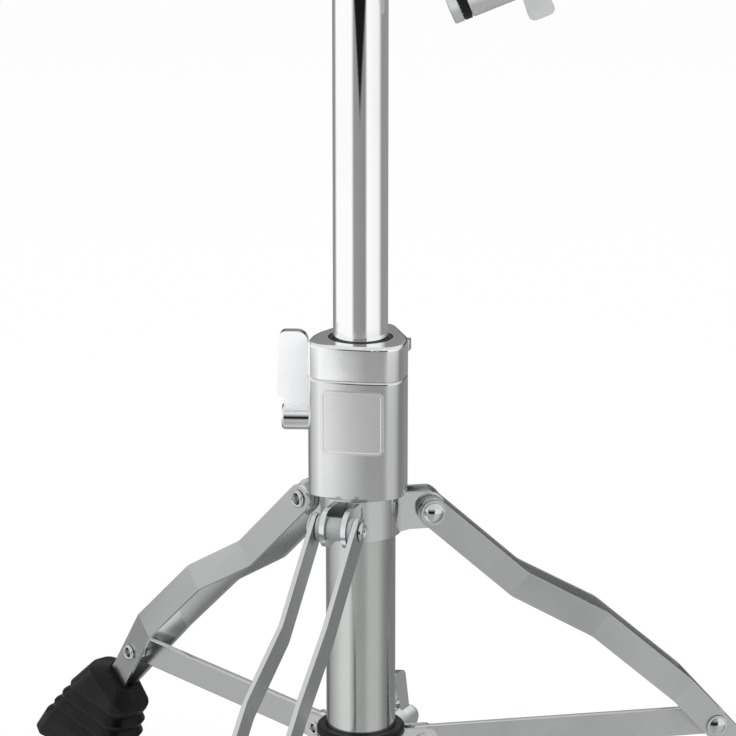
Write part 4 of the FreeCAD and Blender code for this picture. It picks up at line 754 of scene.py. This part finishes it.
@dataclass
class Studio:
    """Pale floor, white surroundings, soft lamps and the camera.

    Attributes:
        camera_place: where the camera stands.
        camera_turn: its pitch from straight down, roll and heading, in degrees.
        lens: its focal length in millimetres, on a 36 mm sensor.
        low: soft boxes and flags round the room near the floor, as degrees from the camera's side and a grey.
        mid: the same, higher.
        high: the same, up to the camera's height.
        sky: the same, above the camera.
        steps: the heights between which one tier gives way to the next.
        flag: middle and half width in degrees of a dark flag, and the heights where it starts and ends.
        flag_soft: width of the flag's soft edge, in degrees.
        flag_colour: colour of the flag.
        lift: heights between which the room gives way to the ceiling.
        ceiling: colour of the ceiling.
        ambient: colour of the room's light on what isn't glossy.
        floor_half: half the floor's width in metres.
        paper_glow: share of the floor that the camera sees as plain white.
        lamp_aim: the point that the lamps face.
        lamps: name, place, size in metres and power in watts of each soft lamp.
    """

    camera_place: Tuple[float, float, float] = (0.3937, -1.1092, 0.5303)
    camera_turn: Tuple[float, float, float] = (75.267, 0.0, 19.396)
    lens: float = 147.4
    low: Bands = (
        (-180.0, 0.25), (-132.0, 0.26), (-112.0, 0.50), (-70.0, 0.85), (-40.0, 0.9), (-28.0, 0.52),
        (12.0, 0.46), (26.0, 0.64), (58.0, 0.64), (84.0, 0.30), (180.0, 0.25))
    mid: Bands = (
        (-180.0, 0.30), (-132.0, 0.26), (-116.0, 0.50), (-80.0, 0.74), (-60.0, 1.0), (-33.0, 0.95),
        (-15.0, 0.36), (2.0, 0.36), (24.0, 0.56), (64.0, 0.52), (99.0, 0.22), (180.0, 0.30))
    high: Bands = (
        (-180.0, 0.30), (-132.0, 0.26), (-116.0, 1.0), (-38.0, 1.0), (-27.0, 0.30), (19.0, 0.26), (29.0, 1.0),
        (80.0, 0.9), (98.0, 0.28), (180.0, 0.30))
    sky: Bands = (
        (-180.0, 0.03), (-140.0, 0.05), (-116.0, 1.0), (-38.0, 1.0), (-27.0, 0.30), (19.0, 0.30), (29.0, 1.0),
        (84.0, 0.95), (130.0, 0.05), (180.0, 0.03))
    steps: Tuple[Point, ...] = ((-0.318, -0.308), (-0.247, -0.243), (-0.02, 0.05))
    flag: Tuple[float, float, float, float] = (-2.0, 30.0, -0.178, -0.130)
    flag_soft: float = 6.0
    flag_colour: Colour = (0.01, 0.01, 0.01)
    lift: Point = (0.12, 0.55)
    ceiling: Colour = (0.8, 0.8, 0.8)
    ambient: Colour = (0.75, 0.75, 0.76)
    floor_half: float = 12.0
    paper_glow: float = 0.93
    lamp_aim: Tuple[float, float, float] = (0.0, 0.0, 0.25)
    lamps: Tuple[Tuple[str, Tuple[float, float, float], float, float], ...] = (
        ("key", (-1.2, -1.6, 1.9), 1.6, 26.0), ("fill", (1.9, -0.6, 1.2), 1.4, 14.0),
        ("top", (0.2, 0.4, 2.4), 1.8, 18.0))

    def build(self) -> None:
        """Sets up the whole studio."""
        self._camera()
        self._world()
        self._floor()
        self._lamps()
        bpy.context.scene.view_settings.view_transform = "Standard"

    def _camera(self) -> None:
        """Places the camera at the photograph's viewpoint."""
        lens = bpy.data.cameras.new("camera")
        lens.sensor_fit = "HORIZONTAL"
        lens.sensor_width = 36.0
        lens.lens = self.lens
        lens.clip_end = 100.0
        camera = bpy.data.objects.new("camera", lens)
        camera.location = self.camera_place
        camera.rotation_euler = [math.radians(angle) for angle in self.camera_turn]
        bpy.context.scene.collection.objects.link(camera)
        bpy.context.scene.camera = camera

    def _world(self) -> None:
        """White for the camera; soft boxes and dark flags round the room for reflections."""
        world = bpy.data.worlds.new("studio")
        bpy.context.scene.world = world
        world.use_nodes = True
        nodes, links = world.node_tree.nodes, world.node_tree.links
        nodes.clear()
        out = nodes.new("ShaderNodeOutputWorld")
        place = nodes.new("ShaderNodeTexCoord")
        turn = nodes.new("ShaderNodeMapping")
        heading = math.atan2(self.camera_place[1], self.camera_place[0])
        turn.inputs["Rotation"].default_value = (0.0, 0.0, -heading)
        parts = nodes.new("ShaderNodeSeparateXYZ")
        angle = nodes.new("ShaderNodeMath")
        angle.operation = "ARCTAN2"
        share = nodes.new("ShaderNodeMapRange")
        share.inputs["From Min"].default_value = -math.pi
        share.inputs["From Max"].default_value = math.pi
        links.new(place.outputs["Generated"], turn.inputs["Vector"])
        links.new(turn.outputs["Vector"], parts.inputs["Vector"])
        links.new(parts.outputs["Y"], angle.inputs[0])
        links.new(parts.outputs["X"], angle.inputs[1])
        links.new(angle.outputs["Value"], share.inputs["Value"])
        tier = self._ramp(nodes, links, share.outputs["Result"], self.low)
        for bands, (start, end) in zip((self.mid, self.high, self.sky), self.steps):
            rise = nodes.new("ShaderNodeMapRange")
            rise.inputs["From Min"].default_value = start
            rise.inputs["From Max"].default_value = end
            blend = nodes.new("ShaderNodeMix")
            blend.data_type = "RGBA"
            links.new(parts.outputs["Z"], rise.inputs["Value"])
            links.new(rise.outputs["Result"], blend.inputs["Factor"])
            links.new(tier, blend.inputs["A"])
            links.new(self._ramp(nodes, links, share.outputs["Result"], bands), blend.inputs["B"])
            tier = blend.outputs["Result"]
        dark = self._flag(nodes, links, angle.outputs["Value"], parts.outputs["Z"])
        shade = nodes.new("ShaderNodeMix")
        shade.data_type = "RGBA"
        shade.inputs["B"].default_value = (*self.flag_colour, 1.0)
        links.new(dark, shade.inputs["Factor"])
        links.new(tier, shade.inputs["A"])
        lift = nodes.new("ShaderNodeMapRange")
        lift.inputs["From Min"].default_value = self.lift[0]
        lift.inputs["From Max"].default_value = self.lift[1]
        over = nodes.new("ShaderNodeMix")
        over.data_type = "RGBA"
        over.inputs["B"].default_value = (*self.ceiling, 1.0)
        links.new(parts.outputs["Z"], lift.inputs["Value"])
        links.new(lift.outputs["Result"], over.inputs["Factor"])
        links.new(shade.outputs["Result"], over.inputs["A"])
        rays = nodes.new("ShaderNodeLightPath")
        room = nodes.new("ShaderNodeMix")
        room.data_type = "RGBA"
        room.inputs["A"].default_value = (*self.ambient, 1.0)
        links.new(rays.outputs["Is Glossy Ray"], room.inputs["Factor"])
        links.new(over.outputs["Result"], room.inputs["B"])
        seen = nodes.new("ShaderNodeMix")
        seen.data_type = "RGBA"
        seen.inputs["B"].default_value = (1.0, 1.0, 1.0, 1.0)
        links.new(room.outputs["Result"], seen.inputs["A"])
        links.new(rays.outputs["Is Camera Ray"], seen.inputs["Factor"])
        back = nodes.new("ShaderNodeBackground")
        links.new(seen.outputs["Result"], back.inputs["Color"])
        links.new(back.outputs["Background"], out.inputs["Surface"])

    @staticmethod
    def _ramp(nodes: bpy.types.Nodes, links: bpy.types.NodeLinks, share: bpy.types.NodeSocket,
              bands: Bands) -> bpy.types.NodeSocket:
        """One tier of soft boxes and flags round the room.

        Args:
            nodes: the world's nodes.
            links: the world's links.
            share: the direction round the room, from 0 to 1.
            bands: degrees from the camera's side and a grey, in order.

        Returns:
            The tier's colour.
        """
        ramp = nodes.new("ShaderNodeValToRGB")
        stops = ramp.color_ramp.elements
        for degrees, _ in bands[1:-1]:
            stops.new((degrees + 180.0) / 360.0)
        for stop, (degrees, grey) in zip(stops, bands):
            stop.position = (degrees + 180.0) / 360.0
            stop.color = (grey, grey, grey, 1.0)
        links.new(share, ramp.inputs["Fac"])
        return ramp.outputs["Color"]

    def _flag(self, nodes: bpy.types.Nodes, links: bpy.types.NodeLinks, angle: bpy.types.NodeSocket,
              height: bpy.types.NodeSocket) -> bpy.types.NodeSocket:
        """A dark flag on the camera's side that narrows to a point downwards.

        Args:
            nodes: the world's nodes.
            links: the world's links.
            angle: the direction round the room, in radians from the camera's side.
            height: the direction's height.

        Returns:
            The flag's mask.
        """
        middle, half, low, high = self.flag
        aside = nodes.new("ShaderNodeMath")
        aside.operation = "SUBTRACT"
        aside.inputs[1].default_value = math.radians(middle)
        away = nodes.new("ShaderNodeMath")
        away.operation = "ABSOLUTE"
        reach = nodes.new("ShaderNodeMapRange")
        reach.inputs["From Min"].default_value = low
        reach.inputs["From Max"].default_value = high
        reach.inputs["To Max"].default_value = math.radians(half)
        gap = nodes.new("ShaderNodeMath")
        gap.operation = "SUBTRACT"
        edge = nodes.new("ShaderNodeMapRange")
        edge.inputs["From Max"].default_value = math.radians(self.flag_soft)
        links.new(angle, aside.inputs[0])
        links.new(aside.outputs["Value"], away.inputs[0])
        links.new(height, reach.inputs["Value"])
        links.new(reach.outputs["Result"], gap.inputs[0])
        links.new(away.outputs["Value"], gap.inputs[1])
        links.new(gap.outputs["Value"], edge.inputs["Value"])
        return edge.outputs["Result"]

    def _floor(self) -> None:
        """A wide white floor that keeps a faint shadow."""
        grid = bmesh.new()
        bmesh.ops.create_grid(grid, x_segments=1, y_segments=1, size=self.floor_half)
        data = bpy.data.meshes.new("floor")
        grid.to_mesh(data)
        grid.free()
        floor = bpy.data.objects.new("floor", data)
        bpy.context.scene.collection.objects.link(floor)
        paper = bpy.data.materials.new("floor_paper")
        paper.use_nodes = True
        nodes, links = paper.node_tree.nodes, paper.node_tree.links
        shader = nodes["Principled BSDF"]
        shader.inputs["Base Color"].default_value = (0.85, 0.85, 0.85, 1.0)
        shader.inputs["Roughness"].default_value = 0.9
        glow = nodes.new("ShaderNodeEmission")
        glow.inputs["Color"].default_value = (1.0, 1.0, 1.0, 1.0)
        mix = nodes.new("ShaderNodeMixShader")
        rays = nodes.new("ShaderNodeLightPath")
        seen = nodes.new("ShaderNodeMath")
        seen.operation = "MULTIPLY"
        seen.inputs[1].default_value = self.paper_glow
        links.new(rays.outputs["Is Camera Ray"], seen.inputs[0])
        links.new(seen.outputs["Value"], mix.inputs["Fac"])
        links.new(shader.outputs["BSDF"], mix.inputs[1])
        links.new(glow.outputs["Emission"], mix.inputs[2])
        links.new(mix.outputs["Shader"], nodes["Material Output"].inputs["Surface"])
        data.materials.append(paper)
        floor.visible_glossy = False

    def _lamps(self) -> None:
        """Large soft lamps that light the piece and stay out of its reflections."""
        for name, place, size, power in self.lamps:
            lamp = bpy.data.lights.new(name, "AREA")
            lamp.size = size
            lamp.energy = power
            holder = bpy.data.objects.new(name, lamp)
            holder.location = place
            aim = Vector(self.lamp_aim) - Vector(place)
            holder.rotation_euler = aim.to_track_quat("-Z", "Y").to_euler()
            holder.visible_glossy = False
            bpy.context.scene.collection.objects.link(holder)


def main() -> None:
    """Builds the looks of the stand, sub-assembly by sub-assembly."""
    logging.basicConfig(level=logging.INFO, format="%(name)s: %(message)s")
    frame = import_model()
    shop = Workshop(frame)
    for part in (Tubes(), HeightClamp(), Tripod(), Braces(), Tilter(), Basket()):
        part.build(shop)
        log.info("%s built", type(part).__name__)
    Studio().build()


if __name__ == "__main__":
    main()
